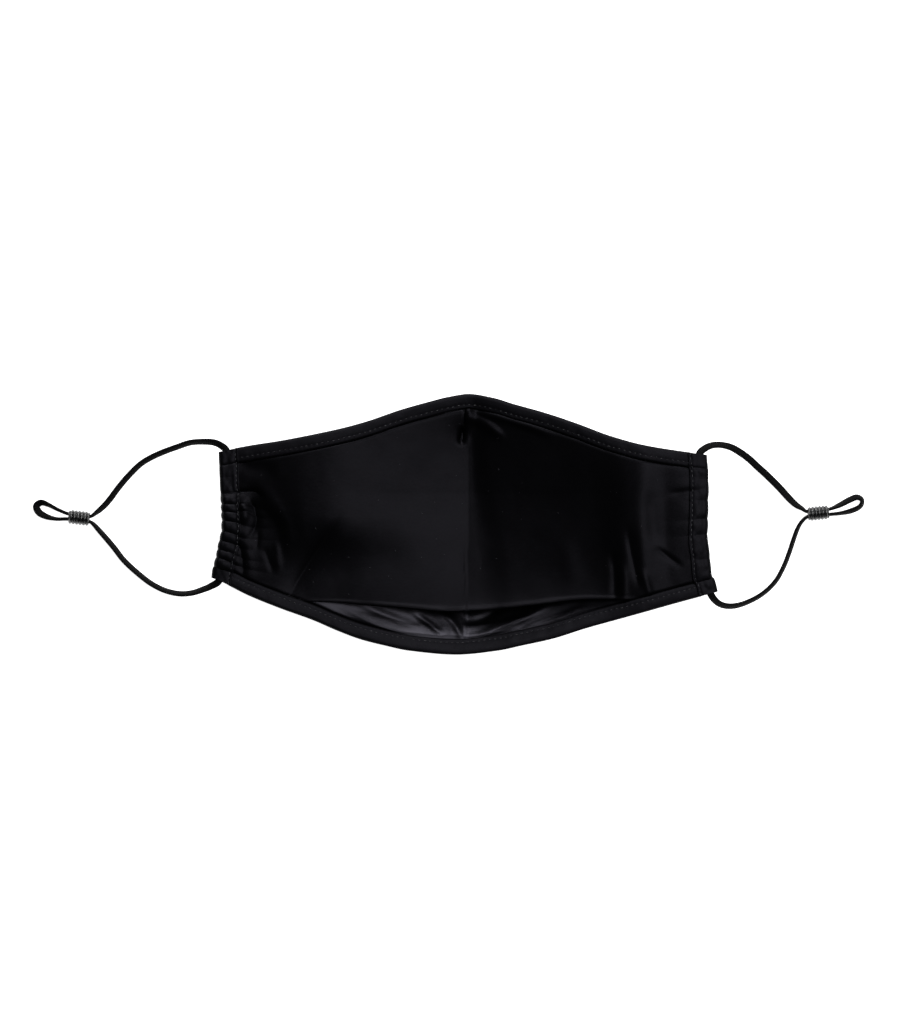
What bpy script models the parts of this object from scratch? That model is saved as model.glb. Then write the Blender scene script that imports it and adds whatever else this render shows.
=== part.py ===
"""Cloth face mask with ear loops, lying on its outer face with the wearer's side up.

Metres, +Z up, +X along the mask, +Y towards its nose edge. The origin is on the surface that
the mask lies on, under the middle of the mask without its ear loops.
"""

import bisect
import functools
import math
from collections import namedtuple

import bmesh
import bpy
import numpy as np

# Sizes of the mask
LENGTH = 0.2424  # over both casings
NOSE_HEIGHT = 0.0625  # middle line to the peak of the nose edge
CHIN_HEIGHT = 0.0623  # middle line to the lowest point of the chin edge
CUP_DEPTH = 0.0173  # the centre crease to the ridges at the sides of the cup
REST_HEIGHT = 0.0200  # the crease lies flat this far above and below the middle line
CREASE_X = 0.0031
CREASE_WIDTH = 0.0032

# Cloth, tapes and elastic
CLOTH = 0.0010
CLEARANCE = 0.0003
BINDING_WIDTH = 0.0062
BINDING_WALL = 0.0010
BINDING_FOLD = 0.0017  # how far in the fold at its edge is rounded
CASING_WIDTH = 0.0092
CASING_WALL = 0.0010
CASING_FOLD = 0.0019
CLOTH_IN_CASING = 0.0044
LINING_SHORT = 0.0015  # the lining ends this far short of the outer cloth at the chin
POCKET_GAPE = 0.0078  # the lining stands this far off the outer cloth at its hem
POCKET_HALF_LENGTH = 0.0800
POCKET_TOP = 0.0150
NOSE_POWER = 2.0  # how sharply the cloth turns up towards its nose edge
CHIN_POWER = 2.5
GAPE_POWER = 1.25
LOOP_DIAMETER = 0.0022
STRAND_SPACING = 0.0025
ADJUSTER_LENGTH = 0.0100
ADJUSTER_DIAMETER = 0.0070
ADJUSTER_GROOVE = 0.0003
ADJUSTER_RINGS = 7
ADJUSTER_CREST = (0.3, 0.7)  # each ring is at its widest between these shares of its length
ADJUSTER_SIDES = 14
BORE_DIAMETER = 0.0053

HALF_LENGTH = LENGTH / 2
LAYER_STEP = CLOTH + CLEARANCE
LOOP_RADIUS = LOOP_DIAMETER / 2
LEFT, RIGHT = -1, 1

# Plan of the mask: along is a share of HALF_LENGTH, minus to the left, and each height is a
# share of NOSE_HEIGHT or of CHIN_HEIGHT
EdgePoint = namedtuple("EdgePoint", "along height")
NOSE_EDGE = (
    EdgePoint(-1.000, 0.544),
    EdgePoint(-0.853, 0.600),
    EdgePoint(-0.727, 0.638),
    EdgePoint(-0.600, 0.685),
    EdgePoint(-0.474, 0.739),
    EdgePoint(-0.378, 0.792),
    EdgePoint(-0.252, 0.877),
    EdgePoint(-0.140, 0.939),
    EdgePoint(-0.061, 0.978),
    EdgePoint(0.017, 1.000),
    EdgePoint(0.113, 0.970),
    EdgePoint(0.192, 0.923),
    EdgePoint(0.318, 0.854),
    EdgePoint(0.446, 0.770),
    EdgePoint(0.573, 0.677),
    EdgePoint(0.699, 0.608),
    EdgePoint(0.810, 0.570),
    EdgePoint(1.000, 0.520),
)
CHIN_EDGE = (
    EdgePoint(-1.000, 0.411),
    EdgePoint(-0.949, 0.453),
    EdgePoint(-0.853, 0.546),
    EdgePoint(-0.727, 0.645),
    EdgePoint(-0.596, 0.738),
    EdgePoint(-0.505, 0.815),
    EdgePoint(-0.410, 0.884),
    EdgePoint(-0.315, 0.931),
    EdgePoint(-0.219, 0.970),
    EdgePoint(-0.030, 1.000),
    EdgePoint(0.129, 0.970),
    EdgePoint(0.224, 0.931),
    EdgePoint(0.351, 0.876),
    EdgePoint(0.477, 0.799),
    EdgePoint(0.604, 0.730),
    EdgePoint(0.857, 0.592),
    EdgePoint(1.000, 0.518),
)
HEM = (
    EdgePoint(-1.000, 0.607),
    EdgePoint(-0.533, 0.612),
    EdgePoint(-0.256, 0.645),
    EdgePoint(-0.058, 0.676),
    EdgePoint(0.061, 0.669),
    EdgePoint(0.259, 0.631),
    EdgePoint(0.497, 0.584),
    EdgePoint(0.695, 0.592),
    EdgePoint(1.000, 0.600),
)

# How far the gathered ends draw in: up runs from the chin corner, 0, to the nose corner, 1, and
# inset is a share of CASING_WIDTH
EndPoint = namedtuple("EndPoint", "up inset")
ENDS = {
    LEFT: (
        EndPoint(0.00, 0.00),
        EndPoint(0.07, 0.05),
        EndPoint(0.17, 0.21),
        EndPoint(0.26, 0.32),
        EndPoint(0.43, 0.52),
        EndPoint(0.66, 0.47),
        EndPoint(1.00, 0.37),
    ),
    RIGHT: (
        EndPoint(0.00, 0.00),
        EndPoint(0.09, 0.15),
        EndPoint(0.14, 0.32),
        EndPoint(0.28, 0.41),
        EndPoint(0.40, 0.52),
        EndPoint(0.80, 0.47),
        EndPoint(1.00, 0.58),
    ),
}

# Form of the mask along its length, in shares of CUP_DEPTH: the height at the middle line, and
# how much higher the nose edge and the chin edge are
Section = namedtuple("Section", "along height nose_rise chin_rise")
FLAT_FROM = (CREASE_X - CREASE_WIDTH / 2) / HALF_LENGTH
FLAT_TO = (CREASE_X + CREASE_WIDTH / 2) / HALF_LENGTH
SECTIONS = (
    Section(-1.000, 0.50, 0.00, 0.00),
    Section(-0.890, 0.57, -0.02, -0.02),
    Section(-0.810, 0.64, -0.04, -0.05),
    Section(-0.726, 0.76, -0.06, -0.06),
    Section(-0.690, 0.88, -0.07, -0.06),
    Section(-0.645, 0.98, -0.08, -0.05),
    Section(-0.578, 0.94, -0.05, 0.03),
    Section(-0.330, 0.55, 0.12, 0.40),
    Section(-0.090, 0.15, 0.33, 0.68),
    Section(FLAT_FROM, 0.00, 0.38, 0.75),
    Section(FLAT_TO, 0.00, 0.38, 0.75),
    Section(0.120, 0.11, 0.33, 0.68),
    Section(0.330, 0.36, 0.14, 0.45),
    Section(0.500, 0.60, 0.03, 0.22),
    Section(0.650, 0.91, -0.06, -0.03),
    Section(0.705, 0.96, -0.07, -0.06),
    Section(0.760, 0.93, -0.06, -0.05),
    Section(0.890, 0.77, -0.02, -0.02),
    Section(1.000, 0.64, 0.00, 0.00),
)

# Folds of the cloth between two places: along and up are shares of HALF_LENGTH and of the height
# from the chin edge to the nose edge, reach is a share of CASING_WIDTH, height one of CUP_DEPTH
Fold = namedtuple("Fold", "along_from up_from along_to up_to reach height")
FOLDS = (
    Fold(-0.54, 0.34, -0.18, 0.37, 1.20, -0.090),
    Fold(-0.75, 0.10, -0.55, 0.55, 0.55, 0.065),
    Fold(-0.87, 0.72, -0.80, 0.70, 0.32, -0.050),
    Fold(-0.83, 0.66, -0.84, 0.40, 0.36, -0.050),
    Fold(-0.81, 0.36, -0.78, 0.08, 0.42, 0.050),
    Fold(0.595, 0.10, 0.580, 0.32, 0.38, 0.060),
    Fold(0.675, 0.10, 0.665, 0.32, 0.38, -0.060),
    Fold(0.74, 0.44, 0.85, 0.22, 0.42, -0.035),
    Fold(0.83, 0.74, 0.90, 0.74, 0.36, -0.035),
)

# Gathers of the casings, one for each puff between two stitches of the draw
Gather = namedtuple("Gather", "count puff scallop band_puff")
GATHERS = {
    LEFT: Gather(11, 0.0008, 0.0005, 0.0003),
    RIGHT: Gather(7, 0.0005, 0.0003, 0.0004),
}
ROWS_IN_A_GATHER = 4

# Columns of the cloth, counted over each stretch from one casing to the other
WING_COLUMNS = 5
CUP_COLUMNS = 11
CREASE_COLUMNS = 2
LEFT_RIDGE = -0.645
RIGHT_RIDGE = 0.705
POCKET_ROWS = 4
BODY_ROWS = 12

# Ear loops, with the sliding adjuster on each: out is measured from the end of the mask, up from the middle line, and height from
# the surface that the mask lies on
RoutePoint = namedtuple("RoutePoint", "out up height")
Bead = namedtuple("Bead", "out up turn")
ADJUSTERS = {
    LEFT: Bead(0.0643, 0.0031, math.radians(-7)),
    RIGHT: Bead(0.0491, 0.0054, math.radians(6)),
}
NOSE_STRANDS = {
    LEFT: (
        RoutePoint(-0.0043, 0.0378, 0.0097),
        RoutePoint(-0.0010, 0.0392, 0.0090),
        RoutePoint(0.0040, 0.0396, 0.0076),
        RoutePoint(0.0106, 0.0392, 0.0053),
        RoutePoint(0.0173, 0.0371, 0.0033),
        RoutePoint(0.0245, 0.0345, 0.0019),
        RoutePoint(0.0305, 0.0317, 0.0013),
        RoutePoint(0.0350, 0.0288, 0.0012),
        RoutePoint(0.0408, 0.0231, 0.0012),
        RoutePoint(0.0456, 0.0174, 0.0012),
        RoutePoint(0.0499, 0.0116, 0.0014),
        RoutePoint(0.0530, 0.0082, 0.0020),
        RoutePoint(0.0560, 0.0056, 0.0029),
    ),
    RIGHT: (
        RoutePoint(-0.0062, 0.0362, 0.0118),
        RoutePoint(-0.0030, 0.0377, 0.0111),
        RoutePoint(0.0012, 0.0381, 0.0098),
        RoutePoint(0.0067, 0.0370, 0.0076),
        RoutePoint(0.0106, 0.0350, 0.0060),
        RoutePoint(0.0154, 0.0317, 0.0040),
        RoutePoint(0.0200, 0.0276, 0.0024),
        RoutePoint(0.0250, 0.0231, 0.0015),
        RoutePoint(0.0307, 0.0174, 0.0012),
        RoutePoint(0.0358, 0.0118, 0.0014),
        RoutePoint(0.0385, 0.0093, 0.0020),
        RoutePoint(0.0412, 0.0076, 0.0028),
    ),
}
TAILS = {
    LEFT: (
        RoutePoint(0.0745, 0.0070, 0.0028),
        RoutePoint(0.0795, 0.0095, 0.0017),
        RoutePoint(0.0828, 0.0104, 0.0012),
        RoutePoint(0.0850, 0.0086, 0.0012),
        RoutePoint(0.0838, 0.0058, 0.0012),
        RoutePoint(0.0800, 0.0036, 0.0015),
        RoutePoint(0.0752, 0.0025, 0.0026),
    ),
    RIGHT: (
        RoutePoint(0.0590, 0.0090, 0.0028),
        RoutePoint(0.0645, 0.0118, 0.0017),
        RoutePoint(0.0680, 0.0130, 0.0012),
        RoutePoint(0.0703, 0.0116, 0.0012),
        RoutePoint(0.0696, 0.0088, 0.0012),
        RoutePoint(0.0655, 0.0066, 0.0015),
        RoutePoint(0.0600, 0.0053, 0.0026),
    ),
}
CHIN_STRANDS = {
    LEFT: (
        RoutePoint(0.0572, -0.0002, 0.0028),
        RoutePoint(0.0547, -0.0030, 0.0020),
        RoutePoint(0.0518, -0.0063, 0.0014),
        RoutePoint(0.0475, -0.0114, 0.0012),
        RoutePoint(0.0430, -0.0172, 0.0012),
        RoutePoint(0.0370, -0.0229, 0.0012),
        RoutePoint(0.0295, -0.0287, 0.0013),
        RoutePoint(0.0225, -0.0321, 0.0018),
        RoutePoint(0.0154, -0.0335, 0.0031),
        RoutePoint(0.0095, -0.0330, 0.0050),
        RoutePoint(0.0045, -0.0314, 0.0072),
        RoutePoint(0.0008, -0.0299, 0.0089),
    ),
    RIGHT: (
        RoutePoint(0.0410, 0.0010, 0.0028),
        RoutePoint(0.0392, -0.0022, 0.0020),
        RoutePoint(0.0376, -0.0065, 0.0014),
        RoutePoint(0.0350, -0.0143, 0.0012),
        RoutePoint(0.0323, -0.0210, 0.0012),
        RoutePoint(0.0285, -0.0276, 0.0012),
        RoutePoint(0.0225, -0.0334, 0.0016),
        RoutePoint(0.0150, -0.0375, 0.0030),
        RoutePoint(0.0085, -0.0393, 0.0052),
        RoutePoint(0.0032, -0.0390, 0.0078),
        RoutePoint(-0.0004, -0.0371, 0.0100),
    ),
}
JOIN_DEPTH = 0.0100  # the two ends of the elastic meet this far inside the nose end
JOIN_GAP = 0.0010
CHANNEL_POINTS = 8
STRAND_STOPS = (-1.08, -0.4, 0.4, 1.08)  # along the adjuster's bore, in halves of its length
ROUTE_STEP = 0.0065
ROUTE_TURN = math.radians(32)

Finish = namedtuple("Finish", "name colour roughness")
BLACK_COTTON = Finish("black_cotton", (0.0090, 0.0086, 0.0120), 0.85)
BLACK_SATIN = Finish("black_satin", (0.0110, 0.0105, 0.0140), 0.55)
BLACK_TAPE = Finish("black_tape", (0.0130, 0.0125, 0.0160), 0.80)
BLACK_ELASTIC = Finish("black_elastic", (0.0150, 0.0150, 0.0170), 0.75)
GREY_SILICONE = Finish("grey_silicone", (0.0500, 0.0500, 0.0540), 0.35)


def smooth_curve(points):
    """A function that runs smoothly through (place, value) points and never past them."""
    places, values = np.array([tuple(point) for point in points]).T
    steps = np.diff(places)
    slopes = np.diff(values) / steps
    tangents = np.concatenate([slopes[:1], np.zeros(len(steps) - 1), slopes[-1:]])
    rising = slopes[:-1] * slopes[1:] > 0
    before, after = slopes[:-1][rising], slopes[1:][rising]
    tangents[1:-1][rising] = 2 * before * after / (before + after)

    places, values, steps = places.tolist(), values.tolist(), steps.tolist()
    tangents = tangents.tolist()

    def value_at(place):
        place = min(max(place, places[0]), places[-1])
        index = min(max(bisect.bisect_left(places, place) - 1, 0), len(steps) - 1)
        step = steps[index]
        t = (place - places[index]) / step
        return (
            values[index] * (1 + 2 * t) * (1 - t) ** 2
            + values[index + 1] * t**2 * (3 - 2 * t)
            + step * tangents[index] * t * (1 - t) ** 2
            - step * tangents[index + 1] * t**2 * (1 - t)
        )

    return value_at


def section_curve(name):
    return smooth_curve([(section.along, getattr(section, name)) for section in SECTIONS])


nose_share = smooth_curve(NOSE_EDGE)
chin_share = smooth_curve(CHIN_EDGE)
hem_share = smooth_curve(HEM)
end_inset = {side: smooth_curve(points) for side, points in ENDS.items()}
middle_height = section_curve("height")
nose_rise = section_curve("nose_rise")
chin_rise = section_curve("chin_rise")


def nose_edge(x):
    return NOSE_HEIGHT * nose_share(x / HALF_LENGTH)


def chin_edge(x):
    return -CHIN_HEIGHT * chin_share(x / HALF_LENGTH)


def end_x(side, up, inset=0.0):
    """Where the end of the mask is, or a line that runs inset from it."""
    return side * (HALF_LENGTH - CASING_WIDTH * end_inset[side](up) - inset)


def end_height(side):
    return nose_edge(side * HALF_LENGTH) - chin_edge(side * HALF_LENGTH)


def height_between_edges(x, up):
    return chin_edge(x) + up * (nose_edge(x) - chin_edge(x))


def fold_height(x, y):
    """What the folds add at a place: each is a rounded ridge or valley along its line.

    The bindings hold the cloth flat, so every fold dies out before it reaches them.
    """
    inside = min(nose_edge(x) - y, y - chin_edge(x))
    free = min(max(inside / BINDING_WIDTH - 1, 0), 1)
    total = 0.0
    for fold in FOLDS:
        start_x, stop_x = fold.along_from * HALF_LENGTH, fold.along_to * HALF_LENGTH
        start_y = height_between_edges(start_x, fold.up_from)
        stop_y = height_between_edges(stop_x, fold.up_to)
        run_x, run_y = stop_x - start_x, stop_y - start_y
        t = ((x - start_x) * run_x + (y - start_y) * run_y) / (run_x**2 + run_y**2)
        t = min(max(t, 0), 1)
        away = math.hypot(x - start_x - t * run_x, y - start_y - t * run_y)
        total += fold.height * math.exp(-((away / (fold.reach * CASING_WIDTH)) ** 2))
    return CUP_DEPTH * total * free**2 * (3 - 2 * free)


def surface_height(x, y):
    """The middle of the outer cloth's thickness, above the surface that it lies on."""
    along = x / HALF_LENGTH
    nose, chin = nose_edge(x), chin_edge(x)
    up = min(max((y - REST_HEIGHT) / (nose - REST_HEIGHT), 0), 1)
    down = min(max((-y - REST_HEIGHT) / (-chin - REST_HEIGHT), 0), 1)
    turn_up = nose_rise(along) * up**NOSE_POWER + chin_rise(along) * down**CHIN_POWER
    return CLOTH / 2 + CUP_DEPTH * (middle_height(along) + turn_up) + fold_height(x, y)


def surface_point(x, y, above):
    """A point this far above the outer cloth's middle, square to it."""
    reach = CLOTH / 2
    slope_x = (surface_height(x + reach, y) - surface_height(x - reach, y)) / (2 * reach)
    slope_y = (surface_height(x, y + reach) - surface_height(x, y - reach)) / (2 * reach)
    steep = math.sqrt(1 + slope_x**2 + slope_y**2)
    return (
        x - above * slope_x / steep,
        y - above * slope_y / steep,
        surface_height(x, y) + above / steep,
    )


def eased(count):
    """Shares from 0 to 1 that lie closer together at both ends."""
    return [0.5 * t + 0.5 * (1 - math.cos(math.pi * t)) / 2 for t in np.linspace(0, 1, count + 1)]


@functools.lru_cache(maxsize=None)
def column_places(up):
    """Where the cloth's columns cross the line that is this far up from the chin edge."""
    inside = CASING_WIDTH - CLOTH_IN_CASING
    beside = CASING_WIDTH + CLEARANCE
    stops = (
        (end_x(LEFT, up, beside), LEFT_RIDGE * HALF_LENGTH, WING_COLUMNS),
        (LEFT_RIDGE * HALF_LENGTH, CREASE_X - CREASE_WIDTH / 2, CUP_COLUMNS),
        (CREASE_X - CREASE_WIDTH / 2, CREASE_X + CREASE_WIDTH / 2, CREASE_COLUMNS),
        (CREASE_X + CREASE_WIDTH / 2, RIGHT_RIDGE * HALF_LENGTH, CUP_COLUMNS),
        (RIGHT_RIDGE * HALF_LENGTH, end_x(RIGHT, up, beside), WING_COLUMNS),
    )
    places = [end_x(LEFT, up, inside)]
    for start, stop, count in stops:
        places += [start + (stop - start) * share for share in eased(count)[:-1]]
    return places + [stops[-1][1], end_x(RIGHT, up, inside)]


COLUMNS = len(column_places(0.5))


def rounded_tape(width, wall, fold, spare=0.0):
    """A folded tape's section as (inset from the edge, height above the outer cloth's middle).

    The tape holds the outer cloth and the lining with a clearance on both sides, and spare is
    how much further out each of its walls puffs.
    """
    seat = CLOTH / 2 + CLEARANCE + wall / 2
    low, high = -seat - spare, LAYER_STEP + seat + spare
    middle, half = (low + high) / 2, (high - low) / 2
    section = [(width, low)]
    for turn in np.radians([-90, -45, 0, 45, 90]):
        inset = fold - (fold - wall / 2) * math.cos(turn)
        section.append((inset, middle + half * math.sin(turn)))
    return section + [(width, high)]


def material(finish):
    made = bpy.data.materials.new(finish.name)
    made.use_nodes = True
    shader = made.node_tree.nodes["Principled BSDF"]
    shader.inputs["Base Color"].default_value = (*finish.colour, 1.0)
    shader.inputs["Roughness"].default_value = finish.roughness
    shader.inputs["Metallic"].default_value = 0.0
    made.diffuse_color = (*finish.colour, 1.0)
    return made


def add_object(name, data, collection, parent, finish):
    made = bpy.data.objects.new(name, data)
    data.materials.append(finish)
    made.parent = parent
    collection.objects.link(made)
    return made


def shaped_sheet(name, columns, rows, place, thickness, collection, parent, finish):
    """A grid whose vertices go where place(column, row) says, thickened into a cloth wall."""
    form = bmesh.new()
    bmesh.ops.create_grid(form, x_segments=columns - 1, y_segments=rows - 1, size=1.0)
    for vertex in form.verts:
        column = round((vertex.co.x + 1) / 2 * (columns - 1))
        row = round((vertex.co.y + 1) / 2 * (rows - 1))
        vertex.co = place(column, row)
    mesh = bpy.data.meshes.new(name)
    form.to_mesh(mesh)
    form.free()
    mesh.shade_smooth()
    made = add_object(name, mesh, collection, parent, finish)
    wall = made.modifiers.new("wall", "SOLIDIFY")
    wall.thickness = thickness
    wall.offset = 0.0
    wall.use_even_offset = True
    return made


def cloth_up(column, row):
    """How far up from the chin edge a row of the cloth crosses a column, as a share."""
    edge_x = column_places(0.0)[column]
    height = nose_edge(edge_x) - chin_edge(edge_x)
    inset = BINDING_WALL + CLEARANCE + CLOTH / 2
    first, last = inset / height, 1 - inset / height
    hem_y = -CHIN_HEIGHT * hem_share(edge_x / HALF_LENGTH)
    hem = max((hem_y - chin_edge(edge_x)) / height, first + LINING_SHORT / height)
    if row <= POCKET_ROWS:
        return first + (hem - first) * row / POCKET_ROWS
    return hem + (last - hem) * (row - POCKET_ROWS) / BODY_ROWS


def pocket_gape(x, y):
    """How far the lining stands off the outer cloth: widest at the middle of its hem."""
    beside = min(abs(x - CREASE_X) / POCKET_HALF_LENGTH, 1)
    hem_y = -CHIN_HEIGHT * hem_share(x / HALF_LENGTH)
    above = min(max((y - hem_y) / (POCKET_TOP - hem_y), 0), 1)
    return POCKET_GAPE * (1 - beside**2) ** 1.5 * (1 - above) ** GAPE_POWER


def outer_place(column, row):
    up = cloth_up(column, row)
    x = column_places(up)[column]
    return surface_point(x, height_between_edges(x, up), 0.0)


def lining_place(column, row):
    up = cloth_up(column, row + POCKET_ROWS)
    x = column_places(up)[column]
    y = height_between_edges(x, up)
    on_cloth = surface_point(x, y, LAYER_STEP)
    return (on_cloth[0], on_cloth[1], on_cloth[2] + pocket_gape(x, y))


def binding_place(at_nose):
    """Places of a tape that is folded over the nose edge or the chin edge."""
    section = rounded_tape(BINDING_WIDTH, BINDING_WALL, BINDING_FOLD)

    def place(column, row):
        inset, above = section[row]
        edge_x = column_places(1.0 if at_nose else 0.0)[column + 1]
        share = inset / (nose_edge(edge_x) - chin_edge(edge_x))
        up = 1 - share if at_nose else share
        x = column_places(up)[column + 1]
        return surface_point(x, height_between_edges(x, up), above)

    return place


def casing_rows(side):
    return GATHERS[side].count * ROWS_IN_A_GATHER + 1


def casing_place(side):
    """Places of the gathered channel that is folded over one end of the mask."""
    gather = GATHERS[side]
    last = casing_rows(side) - 1
    height = end_height(side)

    def place(column, row):
        up = column / last
        wave = math.sin(math.pi * gather.count * up) ** 2
        at_band = math.exp(-((min(up, 1 - up) * height / BINDING_WIDTH) ** 4))
        spare = (1 - at_band) * wave * gather.puff + at_band * gather.band_puff
        section = rounded_tape(CASING_WIDTH, CASING_WALL, CASING_FOLD, spare)
        inset, above = section[row]
        drawn_in = (1 - at_band) * (1 - wave) * gather.scallop * (1 - inset / CASING_WIDTH)
        x = end_x(side, up, inset + drawn_in)
        return surface_point(x, height_between_edges(x, up), above)

    return place


def channel_point(side, up):
    """The middle of the casing's channel, where the elastic runs."""
    inset = CASING_WALL + CLEARANCE + GATHERS[side].scallop + LOOP_RADIUS
    x = end_x(side, up, inset)
    return surface_point(x, height_between_edges(x, up), LAYER_STEP / 2)


def adjuster_axis(side):
    """The middle of an adjuster and the direction of its bore, away from the mask."""
    bead = ADJUSTERS[side]
    middle = np.array([side * (HALF_LENGTH + bead.out), bead.up, ADJUSTER_DIAMETER / 2])
    return middle, np.array([side * math.cos(bead.turn), math.sin(bead.turn) * side, 0.0])


def strand_in_adjuster(side, to_nose):
    """A strand's points through the adjuster, from the mask's side of it outwards."""
    middle, along = adjuster_axis(side)
    across = np.array([-along[1], along[0], 0.0]) * side
    beside = middle + across * (STRAND_SPACING / 2 if to_nose else -STRAND_SPACING / 2)
    reach = ADJUSTER_LENGTH / 2
    return [beside + along * reach * stop for stop in STRAND_STOPS]


def route_points(side, points):
    return [np.array([side * (HALF_LENGTH + p.out), p.up, p.height]) for p in points]


def loop_route(side):
    """The whole elastic: out of the casing at the nose, through the adjuster and its own tail,
    back into the casing at the chin, and up the channel to its beginning."""
    height = end_height(side)
    join = 1 - JOIN_DEPTH / height
    first = [np.array(channel_point(side, up)) for up in (join, (join + 1) / 2, 1.0)]
    last_up = join - JOIN_GAP / height
    last = [np.array(channel_point(side, up)) for up in np.linspace(0.0, last_up, CHANNEL_POINTS)]
    return np.array(
        first
        + route_points(side, NOSE_STRANDS[side])
        + strand_in_adjuster(side, True)
        + route_points(side, TAILS[side])
        + strand_in_adjuster(side, False)[::-1]
        + route_points(side, CHIN_STRANDS[side])
        + last
    )


def smooth_route(points, samples=24):
    """Many points on one smooth curve through the route's own points."""
    padded = np.vstack([2 * points[0] - points[1], points, 2 * points[-1] - points[-2]])
    knots = np.concatenate([[0.0], np.cumsum(np.linalg.norm(np.diff(padded, axis=0), axis=1) ** 0.5)])
    found = []
    for k in range(1, len(padded) - 2):
        p0, p1, p2, p3 = padded[k - 1 : k + 3]
        t0, t1, t2, t3 = knots[k - 1 : k + 3]
        for t in np.linspace(t1, t2, samples, endpoint=False):
            a1 = p0 + (p1 - p0) * (t - t0) / (t1 - t0)
            a2 = p1 + (p2 - p1) * (t - t1) / (t2 - t1)
            a3 = p2 + (p3 - p2) * (t - t2) / (t3 - t2)
            b1 = a1 + (a2 - a1) * (t - t0) / (t2 - t0)
            b2 = a2 + (a3 - a2) * (t - t1) / (t3 - t1)
            found.append(b1 + (b2 - b1) * (t - t1) / (t2 - t1))
    return np.array(found + [points[-1]])


def spaced_points(dense):
    """Points picked from a dense curve: one for each step of length or turn that it makes."""
    runs = np.diff(dense, axis=0)
    lengths = np.linalg.norm(runs, axis=1)
    headings = runs / lengths[:, None]
    turns = np.arccos(np.clip((headings[:-1] * headings[1:]).sum(axis=1), -1, 1))
    cost = np.cumsum(lengths / ROUTE_STEP + np.concatenate([[0.0], turns]) / ROUTE_TURN)
    cost = np.concatenate([[0.0], cost])
    wanted = np.linspace(0, cost[-1], math.ceil(cost[-1]) + 1)
    return np.column_stack([np.interp(wanted, cost, dense[:, axis]) for axis in range(3)])


def ear_loop(name, side, collection, parent, finish):
    points = spaced_points(smooth_route(loop_route(side)))
    curve = bpy.data.curves.new(name, "CURVE")
    curve.dimensions = "3D"
    curve.bevel_depth = LOOP_RADIUS
    curve.bevel_resolution = 2
    curve.use_fill_caps = True
    spline = curve.splines.new("POLY")
    spline.points.add(len(points) - 1)
    for spot, point in zip(spline.points, points):
        spot.co = (*point, 1.0)
    return add_object(name, curve, collection, parent, finish)


def adjuster_profile():
    """Half of the ribbed bead's section: down its rings, then up its bore."""
    crest = ADJUSTER_DIAMETER / 2
    valley = crest - ADJUSTER_GROOVE
    pitch = ADJUSTER_LENGTH / ADJUSTER_RINGS
    top = ADJUSTER_LENGTH / 2
    profile = []
    for ring in range(ADJUSTER_RINGS):
        start = top - ring * pitch
        profile.append((valley, start))
        profile += [(crest, start - share * pitch) for share in ADJUSTER_CREST]
    return profile + [(valley, -top), (BORE_DIAMETER / 2, -top), (BORE_DIAMETER / 2, top)]


def adjuster(name, side, collection, parent, finish):
    form = bmesh.new()
    ring = [form.verts.new((x, 0.0, z)) for x, z in adjuster_profile()]
    for first, second in zip(ring, ring[1:] + ring[:1]):
        form.edges.new((first, second))
    mesh = bpy.data.meshes.new(name)
    form.to_mesh(mesh)
    form.free()
    made = add_object(name, mesh, collection, parent, finish)
    turned = made.modifiers.new("turned", "SCREW")
    turned.steps = turned.render_steps = ADJUSTER_SIDES
    turned.use_merge_vertices = False
    middle, along = adjuster_axis(side)
    made.location = middle
    made.rotation_euler = (0.0, math.pi / 2, math.atan2(along[1], along[0]))
    return made


def build():
    for old in list(bpy.data.objects):
        bpy.data.objects.remove(old)
    parts = bpy.data.collections.new("face_mask")
    bpy.context.scene.collection.children.link(parts)
    mask = bpy.data.objects.new("mask", None)
    parts.objects.link(mask)

    cotton = material(BLACK_COTTON)
    satin = material(BLACK_SATIN)
    tape = material(BLACK_TAPE)
    elastic = material(BLACK_ELASTIC)
    silicone = material(GREY_SILICONE)

    rows = POCKET_ROWS + BODY_ROWS + 1
    shaped_sheet("outer_cloth", COLUMNS, rows, outer_place, CLOTH, parts, mask, satin)
    shaped_sheet("lining_cloth", COLUMNS, BODY_ROWS + 1, lining_place, CLOTH, parts, mask, cotton)
    tape_points = len(rounded_tape(BINDING_WIDTH, BINDING_WALL, BINDING_FOLD))
    for name, at_nose in (("top_binding", True), ("bottom_binding", False)):
        place = binding_place(at_nose)
        shaped_sheet(name, COLUMNS - 2, tape_points, place, BINDING_WALL, parts, mask, tape)
    for word, side in (("left", LEFT), ("right", RIGHT)):
        name = f"{word}_casing"
        place = casing_place(side)
        shaped_sheet(name, casing_rows(side), tape_points, place, CASING_WALL, parts, mask, cotton)
        ear_loop(f"{word}_ear_loop", side, parts, mask, elastic)
        adjuster(f"{word}_adjuster", side, parts, mask, silicone)


build()
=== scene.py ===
"""Looks of the cloth face mask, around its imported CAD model.

Metres, in the model's frame: +X along the mask, +Y towards its nose edge, +Z up. The mask lies on
its outer face, and the wearer's side is up.
"""

import math
from collections import namedtuple

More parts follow.
